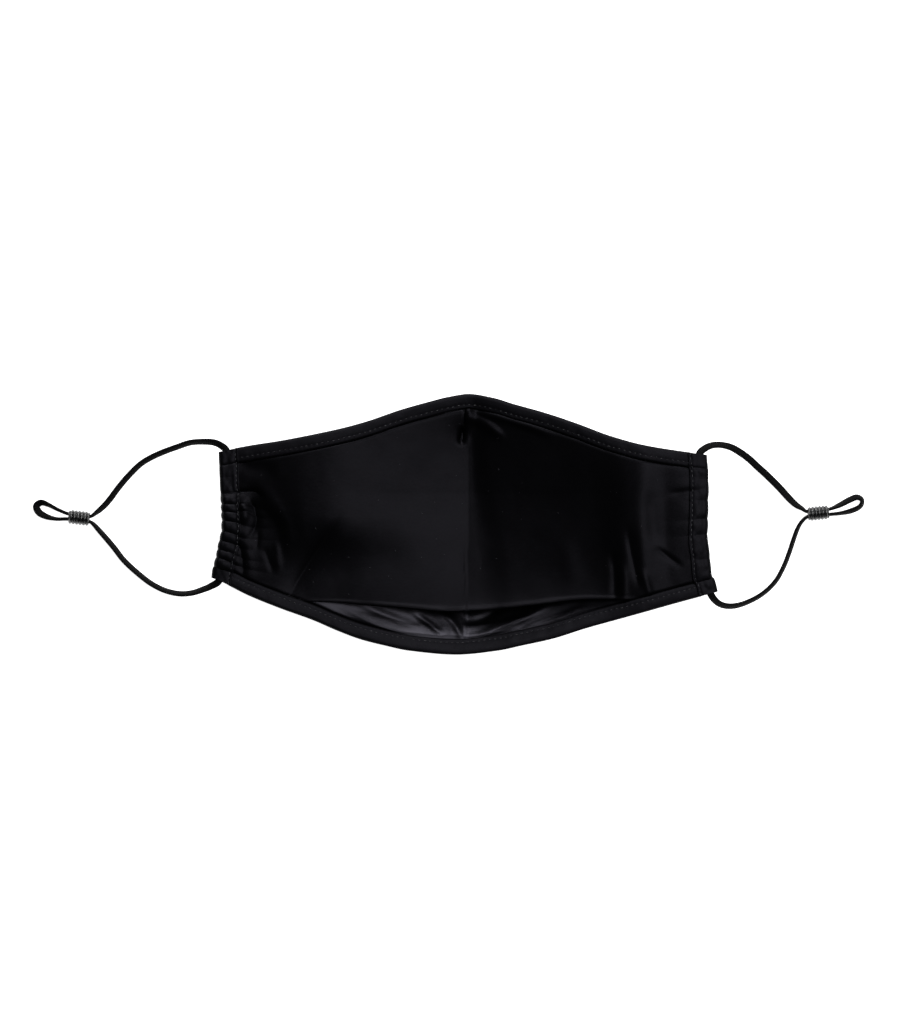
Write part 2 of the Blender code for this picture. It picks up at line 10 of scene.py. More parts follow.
import bmesh
import bpy
import numpy as np
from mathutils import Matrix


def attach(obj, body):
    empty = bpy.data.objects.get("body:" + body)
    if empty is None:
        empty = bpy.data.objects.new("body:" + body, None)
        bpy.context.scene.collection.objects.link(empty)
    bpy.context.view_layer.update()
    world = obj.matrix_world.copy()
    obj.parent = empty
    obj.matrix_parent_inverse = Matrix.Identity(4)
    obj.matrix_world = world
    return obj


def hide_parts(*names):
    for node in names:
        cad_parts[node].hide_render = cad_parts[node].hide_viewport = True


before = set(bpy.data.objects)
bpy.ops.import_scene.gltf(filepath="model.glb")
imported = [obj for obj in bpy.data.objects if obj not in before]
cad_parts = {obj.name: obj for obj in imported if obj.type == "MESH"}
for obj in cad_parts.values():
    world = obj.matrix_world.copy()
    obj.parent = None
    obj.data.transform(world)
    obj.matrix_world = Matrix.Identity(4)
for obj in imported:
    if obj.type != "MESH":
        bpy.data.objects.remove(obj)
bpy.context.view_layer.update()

MM = 0.001
LEFT, RIGHT = -1, 1

# Sizes that the model's source gives
LENGTH = 0.2424
HALF_LENGTH = LENGTH / 2
NOSE_HEIGHT = 0.0625
CHIN_HEIGHT = 0.0623
CUP_DEPTH = 0.0173
REST_HEIGHT = 0.0200
CREASE_X = 0.0031
CREASE_WIDTH = 0.0016
CREASE_ROUNDING = (-0.12, 0.55)
CREASE_OPENING = 0.080
NOSE_PLEAT_END = 0.040
RIDGE_X = 0.0854
WALL_FOOT = -0.0885
WALL_TOP = -0.0782
CLOTH = 0.0010
BINDING_WIDTH = 0.0062
CASING_WIDTH = 0.0092
CLOTH_IN_CASING = 0.0044
POCKET_GAPE = 0.0078
POCKET_HALF_LENGTH = 0.0800
POCKET_TOP = 0.0150
NOSE_POWER = 2.0
CHIN_POWER = 2.5
GAPE_POWER = 1.25
STRAND_SPACING = 0.0025
ADJUSTER_LENGTH = 0.0100
ADJUSTER_DIAMETER = 0.0070
BORE_DIAMETER = 0.0053

# Walls of the real cloth, and how high the middle of each layer lies above the surface_height line
CLOTH_WALL = 0.0005
TAPE_WALL = 0.0005
OUTER_LAYER = -0.00025
LINING_LAYER = 0.00055
TAPE_UNDER = -0.00090
TAPE_OVER = 0.00125
CASING_UNDER = -0.00150
CASING_OVER = 0.00195

EdgePoint = namedtuple("EdgePoint", "along height")
NOSE_EDGE = (
    EdgePoint(-1.000, 0.544),
    EdgePoint(-0.853, 0.600),
    EdgePoint(-0.727, 0.638),
    EdgePoint(-0.600, 0.685),
    EdgePoint(-0.474, 0.739),
    EdgePoint(-0.378, 0.792),
    EdgePoint(-0.252, 0.877),
    EdgePoint(-0.140, 0.939),
    EdgePoint(-0.061, 0.978),
    EdgePoint(0.017, 1.000),
    EdgePoint(0.113, 0.970),
    EdgePoint(0.192, 0.923),
    EdgePoint(0.318, 0.854),
    EdgePoint(0.446, 0.770),
    EdgePoint(0.573, 0.677),
    EdgePoint(0.699, 0.608),
    EdgePoint(0.810, 0.570),
    EdgePoint(1.000, 0.520),
)
CHIN_EDGE = (
    EdgePoint(-1.000, 0.411),
    EdgePoint(-0.949, 0.453),
    EdgePoint(-0.853, 0.546),
    EdgePoint(-0.727, 0.645),
    EdgePoint(-0.596, 0.738),
    EdgePoint(-0.505, 0.815),
    EdgePoint(-0.410, 0.884),
    EdgePoint(-0.315, 0.931),
    EdgePoint(-0.219, 0.970),
    EdgePoint(-0.030, 1.000),
    EdgePoint(0.129, 0.970),
    EdgePoint(0.224, 0.931),
    EdgePoint(0.351, 0.876),
    EdgePoint(0.477, 0.799),
    EdgePoint(0.604, 0.730),
    EdgePoint(0.857, 0.592),
    EdgePoint(1.000, 0.518),
)
HEM = (
    EdgePoint(-1.000, 0.607),
    EdgePoint(-0.533, 0.612),
    EdgePoint(-0.256, 0.645),
    EdgePoint(-0.058, 0.676),
    EdgePoint(0.061, 0.669),
    EdgePoint(0.259, 0.631),
    EdgePoint(0.497, 0.584),
    EdgePoint(0.695, 0.592),
    EdgePoint(1.000, 0.600),
)
EndPoint = namedtuple("EndPoint", "up inset")
ENDS = {
    LEFT: (
        EndPoint(0.00, 0.00),
        EndPoint(0.07, 0.05),
        EndPoint(0.17, 0.21),
        EndPoint(0.26, 0.32),
        EndPoint(0.43, 0.52),
        EndPoint(0.66, 0.47),
        EndPoint(1.00, 0.37),
    ),
    RIGHT: (
        EndPoint(0.00, 0.00),
        EndPoint(0.09, 0.15),
        EndPoint(0.14, 0.32),
        EndPoint(0.28, 0.41),
        EndPoint(0.40, 0.52),
        EndPoint(0.80, 0.47),
        EndPoint(1.00, 0.58),
    ),
}
Section = namedtuple("Section", "along height nose_rise chin_rise")
FLAT_FROM = (CREASE_X - CREASE_WIDTH / 2) / HALF_LENGTH
FLAT_TO = (CREASE_X + CREASE_WIDTH / 2) / HALF_LENGTH
SECTIONS = (
    Section(-1.000, 0.69, 0.00, 0.00),
    Section(-0.890, 0.665, -0.01, 0.06),
    Section(-0.810, 0.65, -0.02, 0.09),
    Section(-0.730, 0.655, -0.03, 0.11),
    Section(-0.690, 0.75, -0.04, 0.11),
    Section(-0.645, 0.82, -0.05, 0.10),
    Section(-0.570, 0.81, -0.05, 0.12),
    Section(-0.330, 0.52, 0.03, 0.36),
    Section(-0.090, 0.15, 0.17, 0.66),
    Section(-0.006, 0.03, 0.21, 0.73),
    Section(FLAT_FROM, 0.00, 0.22, 0.75),
    Section(FLAT_TO, 0.00, 0.22, 0.75),
    Section(0.120, 0.12, 0.22, 0.68),
    Section(0.330, 0.38, 0.12, 0.45),
    Section(0.500, 0.62, 0.03, 0.22),
    Section(0.650, 0.92, -0.06, -0.03),
    Section(0.705, 0.97, -0.07, -0.06),
    Section(0.760, 0.93, -0.06, -0.05),
    Section(0.890, 0.86, -0.02, -0.02),
    Section(1.000, 0.79, 0.00, 0.00),
)

# Where the foot and the top of the left cheek's wall lie at each height on the mask
WallPoint = namedtuple("WallPoint", "y foot top")
WALL = (
    WallPoint(-0.060, -0.0890, -0.0770),
    WallPoint(-0.016, -0.0885, -0.0770),
    WallPoint(-0.002, -0.0900, -0.0760),
    WallPoint(0.010, -0.1000, -0.0765),
    WallPoint(0.025, -0.1100, -0.0770),
    WallPoint(0.060, -0.1140, -0.0770),
)

# Below this line the left cheek has no wall: it falls from the wing to the centre, as in the photo
CHEEK_LINE = 0.004
CHEEK_FADE = 0.030
LowPlace = namedtuple("LowPlace", "along height")
LOW_CHEEK = (
    LowPlace(-1.000, 0.67),
    LowPlace(-0.890, 0.66),
    LowPlace(-0.760, 0.67),
    LowPlace(-0.620, 0.61),
    LowPlace(-0.450, 0.47),
    LowPlace(-0.250, 0.28),
    LowPlace(-0.090, 0.12),
    LowPlace(-0.006, 0.02),
    LowPlace(FLAT_FROM, 0.00),
    LowPlace(0.500, 0.00),
)

# Folds and wrinkles of the cloth, in millimetres: each runs along its path, reaches this far to
# the left and to the right of it, and is a ridge, or a valley where its height is below 0. Sharp
# ones have a crest that comes to an edge.
Wrinkle = namedtuple("Wrinkle", "path left right height power")
SOFT, CRISP, SHARP = 2.0, 1.5, 1.1
WRINKLE_FADE = 0.35
WRINKLE_MARGIN = 4.5
WRINKLES = (
    # The hollow of the left cheek, and the crease that bounds it
    Wrinkle(((-78, -12), (-52, -15), (-26, -18), (-2, -24)), 9, 9, -0.2, SOFT),
    Wrinkle(((-87, -44), (-82, -31), (-74.5, -18), (-67, -7), (-58, 7)), 3.0, 5.0, -1.5, SHARP),
    # The left wing
    Wrinkle(((-106, 36), (-106, 0), (-103, -38)), 4, 14, 0.8, SOFT),
    Wrinkle(((-112, 15.5), (-107, 15.7), (-99.8, 15.6), (-95, 11)), 1.0, 1.8, -1.2, CRISP),
    Wrinkle(((-110, 23), (-102, 21), (-96, 14), (-89, 5), (-85, -4), (-85, -18)), 4, 3.4, 0.7, SOFT),
    Wrinkle(((-106, 15), (-101, 8), (-100.1, 0), (-105, -9)), 1.8, 1.6, -1.1, CRISP),
    Wrinkle(((-108, 12), (-105.5, 6), (-106.5, 0)), 2.0, 1.8, 0.8, SOFT),
    Wrinkle(((-98.4, -2), (-100, -13)), 1.2, 1.2, -0.4, SOFT),
    Wrinkle(((-111, -4), (-107, -14), (-106, -28)), 1.6, 1.8, -1.0, CRISP),
    Wrinkle(((-96.5, -10), (-91, -25)), 1.6, 1.6, -0.45, SOFT),
    Wrinkle(((-90.5, -7), (-89, -24)), 1.8, 1.6, 0.45, SOFT),
    Wrinkle(((-112, 30), (-100, 27), (-88, 26)), 4, 4, -0.8, SOFT),
    # The right side
    Wrinkle(((70.5, -10), (72.3, -24), (72.0, -40)), 2.4, 2.0, -0.9, SOFT),
    Wrinkle(((75, -16), (76, -26), (76, -40)), 1.9, 2.0, 0.8, SOFT),
    Wrinkle(((77.5, 2), (80, -14), (84.5, -34)), 2.8, 1.8, -1.0, CRISP),
    Wrinkle(((84, -20), (87, -28), (90, -38)), 1.8, 1.8, 0.7, SOFT),
    Wrinkle(((90, -10), (96.4, -14.7), (106, -21.5)), 1.3, 1.7, -0.5, SOFT),
    Wrinkle(((95, 14.0), (107, 15.6), (119, 17.4)), 2.0, 2.0, -0.6, SOFT),
    Wrinkle(((88, 18), (89, 3), (91, -12)), 3.4, 3.4, -0.5, SOFT),
    Wrinkle(((106, 40), (108, 2), (112, -38)), 5, 5, 0.5, SOFT),
    Wrinkle(((95, 42), (95, 0), (98, -42)), 5, 7, -0.9, SOFT),
    Wrinkle(((45, -4), (50, -18), (54, -34)), 5, 5, 0.35, SOFT),
    # The pleat at the nose edge, its open end, and the lit rolls beside it
    Wrinkle(((0.2, 66), (0.2, 52), (0.0, 42)), 0.7, 1.0, -0.9, SHARP),
    Wrinkle(((1.6, 66), (2.0, 55), (1.8, 46), (1.4, 36)), 0.8, 2.4, 0.45, SOFT),
    Wrinkle(((2.0, 70), (2.6, 54), (3.2, 42)), 2.2, 8.0, 1.3, SOFT),
    Wrinkle(((-0.9, 47.8), (-1.3, 42.6), (-2.0, 37.4)), 1.5, 1.5, -2.2, SOFT),
    Wrinkle(((-3, 54), (7, 50.2), (13, 46.5), (21, 40)), 1.8, 2.6, 1.2, SOFT),
    Wrinkle(((-3, 56.5), (8, 54.2), (20, 51.4), (32, 47.4), (47, 41)), 1.7, 2.1, 1.0, SOFT),
    # The satin that shows below the hem
    Wrinkle(((-62, -38), (-48, -45.5), (-36, -51), (-24, -54.2), (-12, -56), (2, -57.5)), 2.0, 1.6, 0.8, SOFT),
    Wrinkle(((-54, -37), (-40, -43), (-28, -47.5), (-16, -50)), 2.2, 1.8, -0.7, SOFT),
    Wrinkle(((-26, -42), (-18, -47.2), (-9, -54)), 1.5, 1.3, -0.9, CRISP),
    Wrinkle(((-12, -41), (-5, -48), (0, -57)), 1.8, 1.5, 0.7, SOFT),
    Wrinkle(((-4, -41), (2, -46.5), (10, -45), (20, -39)), 1.8, 2.2, -0.6, SOFT),
    Wrinkle(((-20, -61), (6, -55), (14, -51.3), (22, -48), (31, -44), (46, -36)), 2.4, 1.6, 1.2, SOFT),
    Wrinkle(((14, -56), (30, -49), (44, -43.5), (60, -37)), 2.0, 2.2, -0.9, SOFT),
)

# Gathers of the casings: phase counts the puffs from the chin corner, 0, to the nose corner, 1
Gather = namedtuple("Gather", "phase size puff scallop")
GATHERS = {
    LEFT: Gather(
        ((0.0, 0.0), (0.10, 1.0), (0.30, 3.8), (0.48, 6.1), (0.66, 8.7), (0.80, 10.0), (1.0, 12.0)),
        ((0.0, 0.4), (0.12, 0.9), (0.30, 0.6), (0.42, 1.0), (0.62, 1.0), (0.72, 0.15), (1.0, 0.10)),
        1.0 * MM,
        0.6 * MM,
    ),
    RIGHT: Gather(
        ((0.0, 0.0), (0.2, 1.6), (0.45, 3.1), (0.7, 5.2), (1.0, 7.0)),
        ((0.0, 0.3), (0.25, 0.6), (0.7, 0.8), (1.0, 0.3)),
        0.4 * MM,
        0.5 * MM,
    ),
}

# Ear loops, as in the model's source, and turn, by which the flat elastic leans, from 0 where it
# lies flat to 90 where it stands on its edge
RoutePoint = namedtuple("RoutePoint", "out up height turn")
Bead = namedtuple("Bead", "out up turn")
ADJUSTERS = {
    LEFT: Bead(0.0643, 0.0031, math.radians(-7)),
    RIGHT: Bead(0.0491, 0.0054, math.radians(6)),
}
NOSE_STRANDS = {
    LEFT: (
        RoutePoint(-0.0043, 0.0378, 0.0119, 20),
        RoutePoint(-0.0010, 0.0392, 0.0108, 30),
        RoutePoint(0.0040, 0.0396, 0.0087, 42),
        RoutePoint(0.0106, 0.0392, 0.0058, 48),
        RoutePoint(0.0173, 0.0371, 0.0033, 48),
        RoutePoint(0.0245, 0.0345, 0.0019, 48),
        RoutePoint(0.0305, 0.0317, 0.0013, 48),
        RoutePoint(0.0350, 0.0288, 0.0012, 48),
        RoutePoint(0.0408, 0.0231, 0.0012, 46),
        RoutePoint(0.0456, 0.0174, 0.0012, 46),
        RoutePoint(0.0499, 0.0116, 0.0014, 44),
        RoutePoint(0.0530, 0.0082, 0.0020, 50),
        RoutePoint(0.0560, 0.0056, 0.0029, 68),
    ),
    RIGHT: (
        RoutePoint(-0.0062, 0.0362, 0.0138, 20),
        RoutePoint(-0.0030, 0.0377, 0.0127, 30),
        RoutePoint(0.0012, 0.0381, 0.0109, 34),
        RoutePoint(0.0067, 0.0370, 0.0080, 20),
        RoutePoint(0.0106, 0.0350, 0.0060, 8),
        RoutePoint(0.0154, 0.0317, 0.0040, 2),
        RoutePoint(0.0200, 0.0276, 0.0024, 0),
        RoutePoint(0.0250, 0.0231, 0.0015, 0),
        RoutePoint(0.0307, 0.0174, 0.0012, 6),
        RoutePoint(0.0358, 0.0118, 0.0014, 20),
        RoutePoint(0.0385, 0.0093, 0.0020, 40),
        RoutePoint(0.0412, 0.0076, 0.0028, 65),
    ),
}
TAILS = {
    LEFT: (
        RoutePoint(0.0745, 0.0070, 0.0028, 80),
        RoutePoint(0.0795, 0.0095, 0.0017, 64),
        RoutePoint(0.0828, 0.0104, 0.0012, 38),
        RoutePoint(0.0850, 0.0086, 0.0012, 10),
        RoutePoint(0.0838, 0.0058, 0.0012, 16),
        RoutePoint(0.0800, 0.0036, 0.0015, 50),
        RoutePoint(0.0752, 0.0025, 0.0026, 80),
    ),
    RIGHT: (
        RoutePoint(0.0590, 0.0090, 0.0028, 60),
        RoutePoint(0.0645, 0.0118, 0.0017, 42),
        RoutePoint(0.0680, 0.0130, 0.0012, 46),
        RoutePoint(0.0703, 0.0116, 0.0012, 62),
        RoutePoint(0.0696, 0.0088, 0.0012, 60),
        RoutePoint(0.0655, 0.0066, 0.0015, 56),
        RoutePoint(0.0600, 0.0053, 0.0026, 74),
    ),
}
CHIN_STRANDS = {
    LEFT: (
        RoutePoint(0.0572, -0.0002, 0.0028, 72),
        RoutePoint(0.0547, -0.0030, 0.0020, 60),
        RoutePoint(0.0518, -0.0063, 0.0014, 54),
        RoutePoint(0.0475, -0.0114, 0.0012, 52),
        RoutePoint(0.0430, -0.0172, 0.0012, 52),
        RoutePoint(0.0370, -0.0229, 0.0012, 52),
        RoutePoint(0.0295, -0.0287, 0.0013, 54),
        RoutePoint(0.0225, -0.0321, 0.0018, 54),
        RoutePoint(0.0154, -0.0335, 0.0031, 52),
        RoutePoint(0.0095, -0.0330, 0.0055, 48),
        RoutePoint(0.0045, -0.0314, 0.0083, 40),
        RoutePoint(0.0008, -0.0299, 0.0107, 28),
    ),
    RIGHT: (
        RoutePoint(0.0410, 0.0010, 0.0028, 74),
        RoutePoint(0.0392, -0.0022, 0.0020, 66),
        RoutePoint(0.0376, -0.0065, 0.0014, 62),
        RoutePoint(0.0350, -0.0143, 0.0012, 62),
        RoutePoint(0.0323, -0.0210, 0.0012, 62),
        RoutePoint(0.0285, -0.0276, 0.0012, 62),
        RoutePoint(0.0225, -0.0334, 0.0016, 62),
        RoutePoint(0.0150, -0.0375, 0.0030, 58),
        RoutePoint(0.0085, -0.0393, 0.0058, 50),
        RoutePoint(0.0032, -0.0390, 0.0090, 40),
        RoutePoint(-0.0004, -0.0371, 0.0118, 28),
    ),
}
HEM_ROLL = 0.0004
EDGE_GROOVE = 0.0008
EDGE_GROOVE_IN = 0.0007
EDGE_GROOVE_REACH = 0.0008
BINDING_SEAM = 0.0048
CASING_SEAM = 0.0080
STITCH_PITCH = 0.0026
BEAD_RINGS = 6
BEAD_GROOVE = 0.0009
JOIN_DEPTH = 0.0100
JOIN_GAP = 0.0010
CHANNEL_POINTS = 8
CHANNEL_INSET = 0.0029
STRAND_STOPS = (-1.08, -0.4, 0.4, 1.08)
ELASTIC_WIDTH = 0.0035
ELASTIC_WALL = 0.0016
ELASTIC_STEP = 0.0007
ELASTIC_SIDES = 36
ELASTIC_RIBS = 5
RIB_DEPTH = 0.00006

WHITE = (1.0, 1.0, 1.0)
VIOLET = (0.86, 0.83, 1.0)

CAMERA_AT = (-0.00696, 0.00538)
CAMERA_HEIGHT = 2.5
VIEW_HEIGHT = 0.49248
SENSOR = 36.0
MASK_LEVEL = 0.010


def smooth_curve(points):
    """A function that runs smoothly through (place, value) points and never past them."""
    places, values = np.array([tuple(point) for point in points], float).T
    steps = np.diff(places)
    slopes = np.diff(values) / steps
    tangents = np.concatenate([slopes[:1], np.zeros(len(steps) - 1), slopes[-1:]])
    rising = slopes[:-1] * slopes[1:] > 0
    before, after = slopes[:-1][rising], slopes[1:][rising]
    tangents[1:-1][rising] = 2 * before * after / (before + after)

    def value_at(place):
        place = np.clip(np.asarray(place, float), places[0], places[-1])
        index = np.clip(np.searchsorted(places, place) - 1, 0, len(steps) - 1)
        step = steps[index]
        t = (place - places[index]) / step
        return (
            values[index] * (1 + 2 * t) * (1 - t) ** 2
            + values[index + 1] * t**2 * (3 - 2 * t)
            + step * tangents[index] * t * (1 - t) ** 2
            - step * tangents[index + 1] * t**2 * (1 - t)
        )

    return value_at


def smooth_route(points, samples=24):
    """Many points on one smooth curve through the route's own points."""
    padded = np.vstack([2 * points[0] - points[1], points, 2 * points[-1] - points[-2]])
    spans = np.linalg.norm(np.diff(padded[:, :3], axis=0), axis=1)
    knots = np.concatenate([[0.0], np.cumsum(spans**0.5)])
    found = []
    for k in range(1, len(padded) - 2):
        p0, p1, p2, p3 = padded[k - 1 : k + 3]
        t0, t1, t2, t3 = knots[k - 1 : k + 3]
        for t in np.linspace(t1, t2, samples, endpoint=False):
            a1 = p0 + (p1 - p0) * (t - t0) / (t1 - t0)
            a2 = p1 + (p2 - p1) * (t - t1) / (t2 - t1)
            a3 = p2 + (p3 - p2) * (t - t2) / (t3 - t2)
            b1 = a1 + (a2 - a1) * (t - t0) / (t2 - t0)
            b2 = a2 + (a3 - a2) * (t - t1) / (t3 - t1)
            found.append(b1 + (b2 - b1) * (t - t1) / (t2 - t1))
    return np.array(found + [points[-1]])


def section_curve(name):
    return smooth_curve([(section.along, getattr(section, name)) for section in SECTIONS])


nose_share = smooth_curve(NOSE_EDGE)
chin_share = smooth_curve(CHIN_EDGE)
hem_share = smooth_curve(HEM)
wall_foot = smooth_curve([(point.y, point.foot) for point in WALL])
wall_top = smooth_curve([(point.y, point.top) for point in WALL])
end_inset = {side: smooth_curve(points) for side, points in ENDS.items()}
gather_phase = {side: smooth_curve(gather.phase) for side, gather in GATHERS.items()}
gather_size = {side: smooth_curve(gather.size) for side, gather in GATHERS.items()}
middle_height = section_curve("height")
nose_rise = section_curve("nose_rise")
chin_rise = section_curve("chin_rise")
low_cheek = smooth_curve([(place.along, place.height) for place in LOW_CHEEK])


def eased(value):
    """0 below 0, 1 above 1, and smooth between."""
    value = np.clip(value, 0, 1)
    return value * value * (3 - 2 * value)


def nose_edge(x):
    return NOSE_HEIGHT * nose_share(x / HALF_LENGTH)


def chin_edge(x):
    return -CHIN_HEIGHT * chin_share(x / HALF_LENGTH)


def hem_line(x):
    return -CHIN_HEIGHT * hem_share(x / HALF_LENGTH)


def end_x(side, up, inset=0.0):
    """Where the end of the mask is, or a line that runs inset from it."""
    return side * (HALF_LENGTH - CASING_WIDTH * end_inset[side](up) - inset)


def end_height(side):
    return nose_edge(side * HALF_LENGTH) - chin_edge(side * HALF_LENGTH)


def height_between_edges(x, up):
    return chin_edge(x) + up * (nose_edge(x) - chin_edge(x))


def along_path(x, y, points):
    """How far along the path each place is, from 0 to 1, and how far to its left."""
    runs = np.diff(points, axis=0)
    lengths = np.hypot(runs[:, 0], runs[:, 1])
    starts = np.concatenate([[0.0], np.cumsum(lengths)])
    nearest = np.full(x.shape, np.inf)
    along = np.zeros(x.shape)
    beside = np.zeros(x.shape)
    for point, run, length, start in zip(points, runs, lengths, starts):
        t = np.clip(((x - point[0]) * run[0] + (y - point[1]) * run[1]) / length**2, 0, 1)
        off_x, off_y = x - point[0] - t * run[0], y - point[1] - t * run[1]
        away = np.hypot(off_x, off_y)
        side = np.where(run[0] * off_y - run[1] * off_x < 0, -1.0, 1.0)
        nearer = away < nearest
        nearest = np.where(nearer, away, nearest)
        along = np.where(nearer, (start + t * length) / starts[-1], along)
        beside = np.where(nearer, side * away, beside)
    return along, beside


def wrinkle_height(x, y, wrinkle):
    """What one wrinkle adds to the height of the cloth: it fades out at both ends of its path."""
    path = smooth_route(np.array(wrinkle.path, float) * MM, 8)
    margin = WRINKLE_MARGIN * max(wrinkle.left, wrinkle.right) * MM
    first, last = path.min(axis=0) - margin, path.max(axis=0) + margin
    near = (x > first[0]) & (x < last[0]) & (y > first[1]) & (y < last[1])
    added = np.zeros(x.shape)
    along, beside = along_path(x[near], y[near], path)
    reach = np.where(beside > 0, wrinkle.left, wrinkle.right) * MM
    taper = eased(np.minimum(along, 1 - along) / WRINKLE_FADE)
    profile = np.exp(-(np.abs(beside / reach) ** wrinkle.power))
    added[near] = wrinkle.height * MM * taper * profile
    return added


def soft_noise(x, y, size, seed):
    """Smooth random values from -1 to 1, with bumps about this size."""
    table = np.random.default_rng(seed).uniform(-1, 1, (64, 64))
    u, v = x / size + 31.7, y / size + 27.3
    column, row = np.floor(u).astype(int), np.floor(v).astype(int)
    s, t = eased(u - column), eased(v - row)
    corners = [[table[(row + j) % 64, (column + i) % 64] for i in (0, 1)] for j in (0, 1)]
    lower = corners[0][0] * (1 - s) + corners[0][1] * s
    upper = corners[1][0] * (1 - s) + corners[1][1] * s
    return lower * (1 - t) + upper * t


def puffs(side, up):
    """The gathers of a casing: 0 where a stitch draws it in and 1 where it puffs out."""
    uneven = 0.16 * soft_noise(up * end_height(side), up * 0, 7 * MM, 21 + side)
    return np.abs(np.sin(np.pi * (gather_phase[side](up) + uneven))) ** 0.9


def gathered_cloth(x, y):
    """The pleats that run from the casings into the cloth."""
    total = np.zeros(x.shape)
    up = (y - chin_edge(x)) / (nose_edge(x) - chin_edge(x))
    for side, gather in GATHERS.items():
        away = np.maximum((end_x(side, up, CASING_WIDTH) - x) * side, 0)
        lean = up + 0.02 * soft_noise(x, y, 9 * MM, 3)
        wave = puffs(side, np.clip(lean, 0, 1)) - 0.6
        reach = 6 * MM * (0.6 + 0.8 * gather_size[side](up))
        total += 0.6 * gather.puff * gather_size[side](up) * wave * np.exp(-away / reach)
    return total


def wrinkled(x, y):
    inside = np.minimum(nose_edge(x) - y, y - chin_edge(x))
    free = eased((inside - BINDING_WIDTH + MM) / (3 * MM))
    total = 0.14 * MM * soft_noise(x, y, 13 * MM, 1) + 0.03 * MM * soft_noise(x, y, 4.5 * MM, 2)
    total += gathered_cloth(x, y)
    for wrinkle in WRINKLES:
        total += wrinkle_height(x, y, wrinkle)
    groove = EDGE_GROOVE * np.exp(-(((inside - BINDING_WIDTH - EDGE_GROOVE_IN) / EDGE_GROOVE_REACH) ** 2))
    return total * free - groove


def section_place(x, y):
    """Where among the sections a place is: the centre crease, sharp at the nose, is round at the
    chin, so the cloth on its right starts to rise later there. The steep wall of the left cheek
    widens towards the nose edge and the chin edge."""
    rise = RIDGE_X - CREASE_X
    part = np.clip((x - CREASE_X) / rise, 0, 1)
    rounding = CREASE_ROUNDING[0] + CREASE_ROUNDING[1] * eased((NOSE_PLEAT_END - y) / CREASE_OPENING)
    moved = CREASE_X + rise * part ** (1 + rounding)
    right = np.where((x > CREASE_X) & (x < RIDGE_X), moved, x)
    foot, top = wall_foot(y), wall_top(y)
    on_wing = -HALF_LENGTH + (x + HALF_LENGTH) * (WALL_FOOT + HALF_LENGTH) / (foot + HALF_LENGTH)
    on_wall = WALL_FOOT + (x - foot) * (WALL_TOP - WALL_FOOT) / (top - foot)
    left = np.where(x < foot, on_wing, np.where(x < top, on_wall, x * WALL_TOP / top))
    return np.where(x < 0, left, right) / HALF_LENGTH


def surface_height(x, y):
    """The line that the layers of cloth keep to, above the surface that the mask lies on."""
    along = section_place(x, y)
    up = np.clip((y - REST_HEIGHT) / (nose_edge(x) - REST_HEIGHT), 0, 1)
    down = np.clip((-y - REST_HEIGHT) / (-chin_edge(x) - REST_HEIGHT), 0, 1)
    turn_up = nose_rise(along) * up**NOSE_POWER + chin_rise(along) * down**CHIN_POWER
    middle = middle_height(along)
    low = np.where(x < 0, eased((CHEEK_LINE - y) / CHEEK_FADE), 0)
    middle = middle + (low_cheek(x / HALF_LENGTH) - middle) * low
    height = CUP_DEPTH * (middle + turn_up) + wrinkled(x, y)
    return CLOTH / 2 + np.maximum(height, 0)


def surface_point(x, y, above):
    """Points this far above the surface_height line, square to it."""
    x, y, above = np.broadcast_arrays(x, y, above)
    reach = 0.4 * MM
    slope_x = (surface_height(x + reach, y) - surface_height(x - reach, y)) / (2 * reach)
    slope_y = (surface_height(x, y + reach) - surface_height(x, y - reach)) / (2 * reach)
    steep = np.sqrt(1 + slope_x**2 + slope_y**2)
    lifted = surface_height(x, y) + above / steep
    return np.stack([x - above * slope_x / steep, y - above * slope_y / steep, lifted], axis=-1)


def pocket_gape(x, y):
    """How far the lining stands off the outer cloth: widest at the middle of its hem."""
    beside = np.minimum(np.abs(x - CREASE_X) / POCKET_HALF_LENGTH, 1)
    above = np.clip((y - hem_line(x)) / (POCKET_TOP - hem_line(x)), 0, 1)
    return POCKET_GAPE * (1 - beside**2) ** 1.5 * (1 - above) ** GAPE_POWER


def piece_from_grid(name, points, uv, finish, wall=0.0):
    """A piece whose mesh is a grid of points, rows of columns, with a wall if it is cloth."""
    rows, columns = points.shape[:2]
    index = np.arange(rows * columns).reshape(rows, columns)
    corners = np.stack(
        [index[:-1, :-1], index[:-1, 1:], index[1:, 1:], index[1:, :-1]], axis=-1
    ).reshape(-1, 4)
    mesh = bpy.data.meshes.new(name)
    mesh.from_pydata(points.reshape(-1, 3).tolist(), [], corners.tolist())
    layer = mesh.uv_layers.new(name="cloth")
    layer.data.foreach_set("uv", uv.reshape(-1, 2)[corners.reshape(-1)].astype(np.float32).ravel())
    mesh.shade_smooth()
    mesh.materials.append(finish)
    made = bpy.data.objects.new(name, mesh)
    bpy.context.scene.collection.objects.link(made)
    if wall:
        thick = made.modifiers.new("wall", "SOLIDIFY")
        thick.thickness = wall
        thick.offset = 0.0
        thick.use_even_offset = False
    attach(made, "root")
    return made


def cloth_columns(count):
    """Shares along the cloth, closer together at the pleat and beside the casings."""
    place = np.linspace(0, 1, 2000)
    x = (place - 0.5) * LENGTH
    density = 1 + 0.9 * np.exp(-(((x - 4 * MM) / (12 * MM)) ** 2))
    density += 0.5 * np.exp(-(((np.abs(x) - 104 * MM) / (14 * MM)) ** 2))
    total = np.concatenate([[0], np.cumsum((density[1:] + density[:-1]) / 2)])
    return np.interp(np.linspace(0, total[-1], count), total, place)


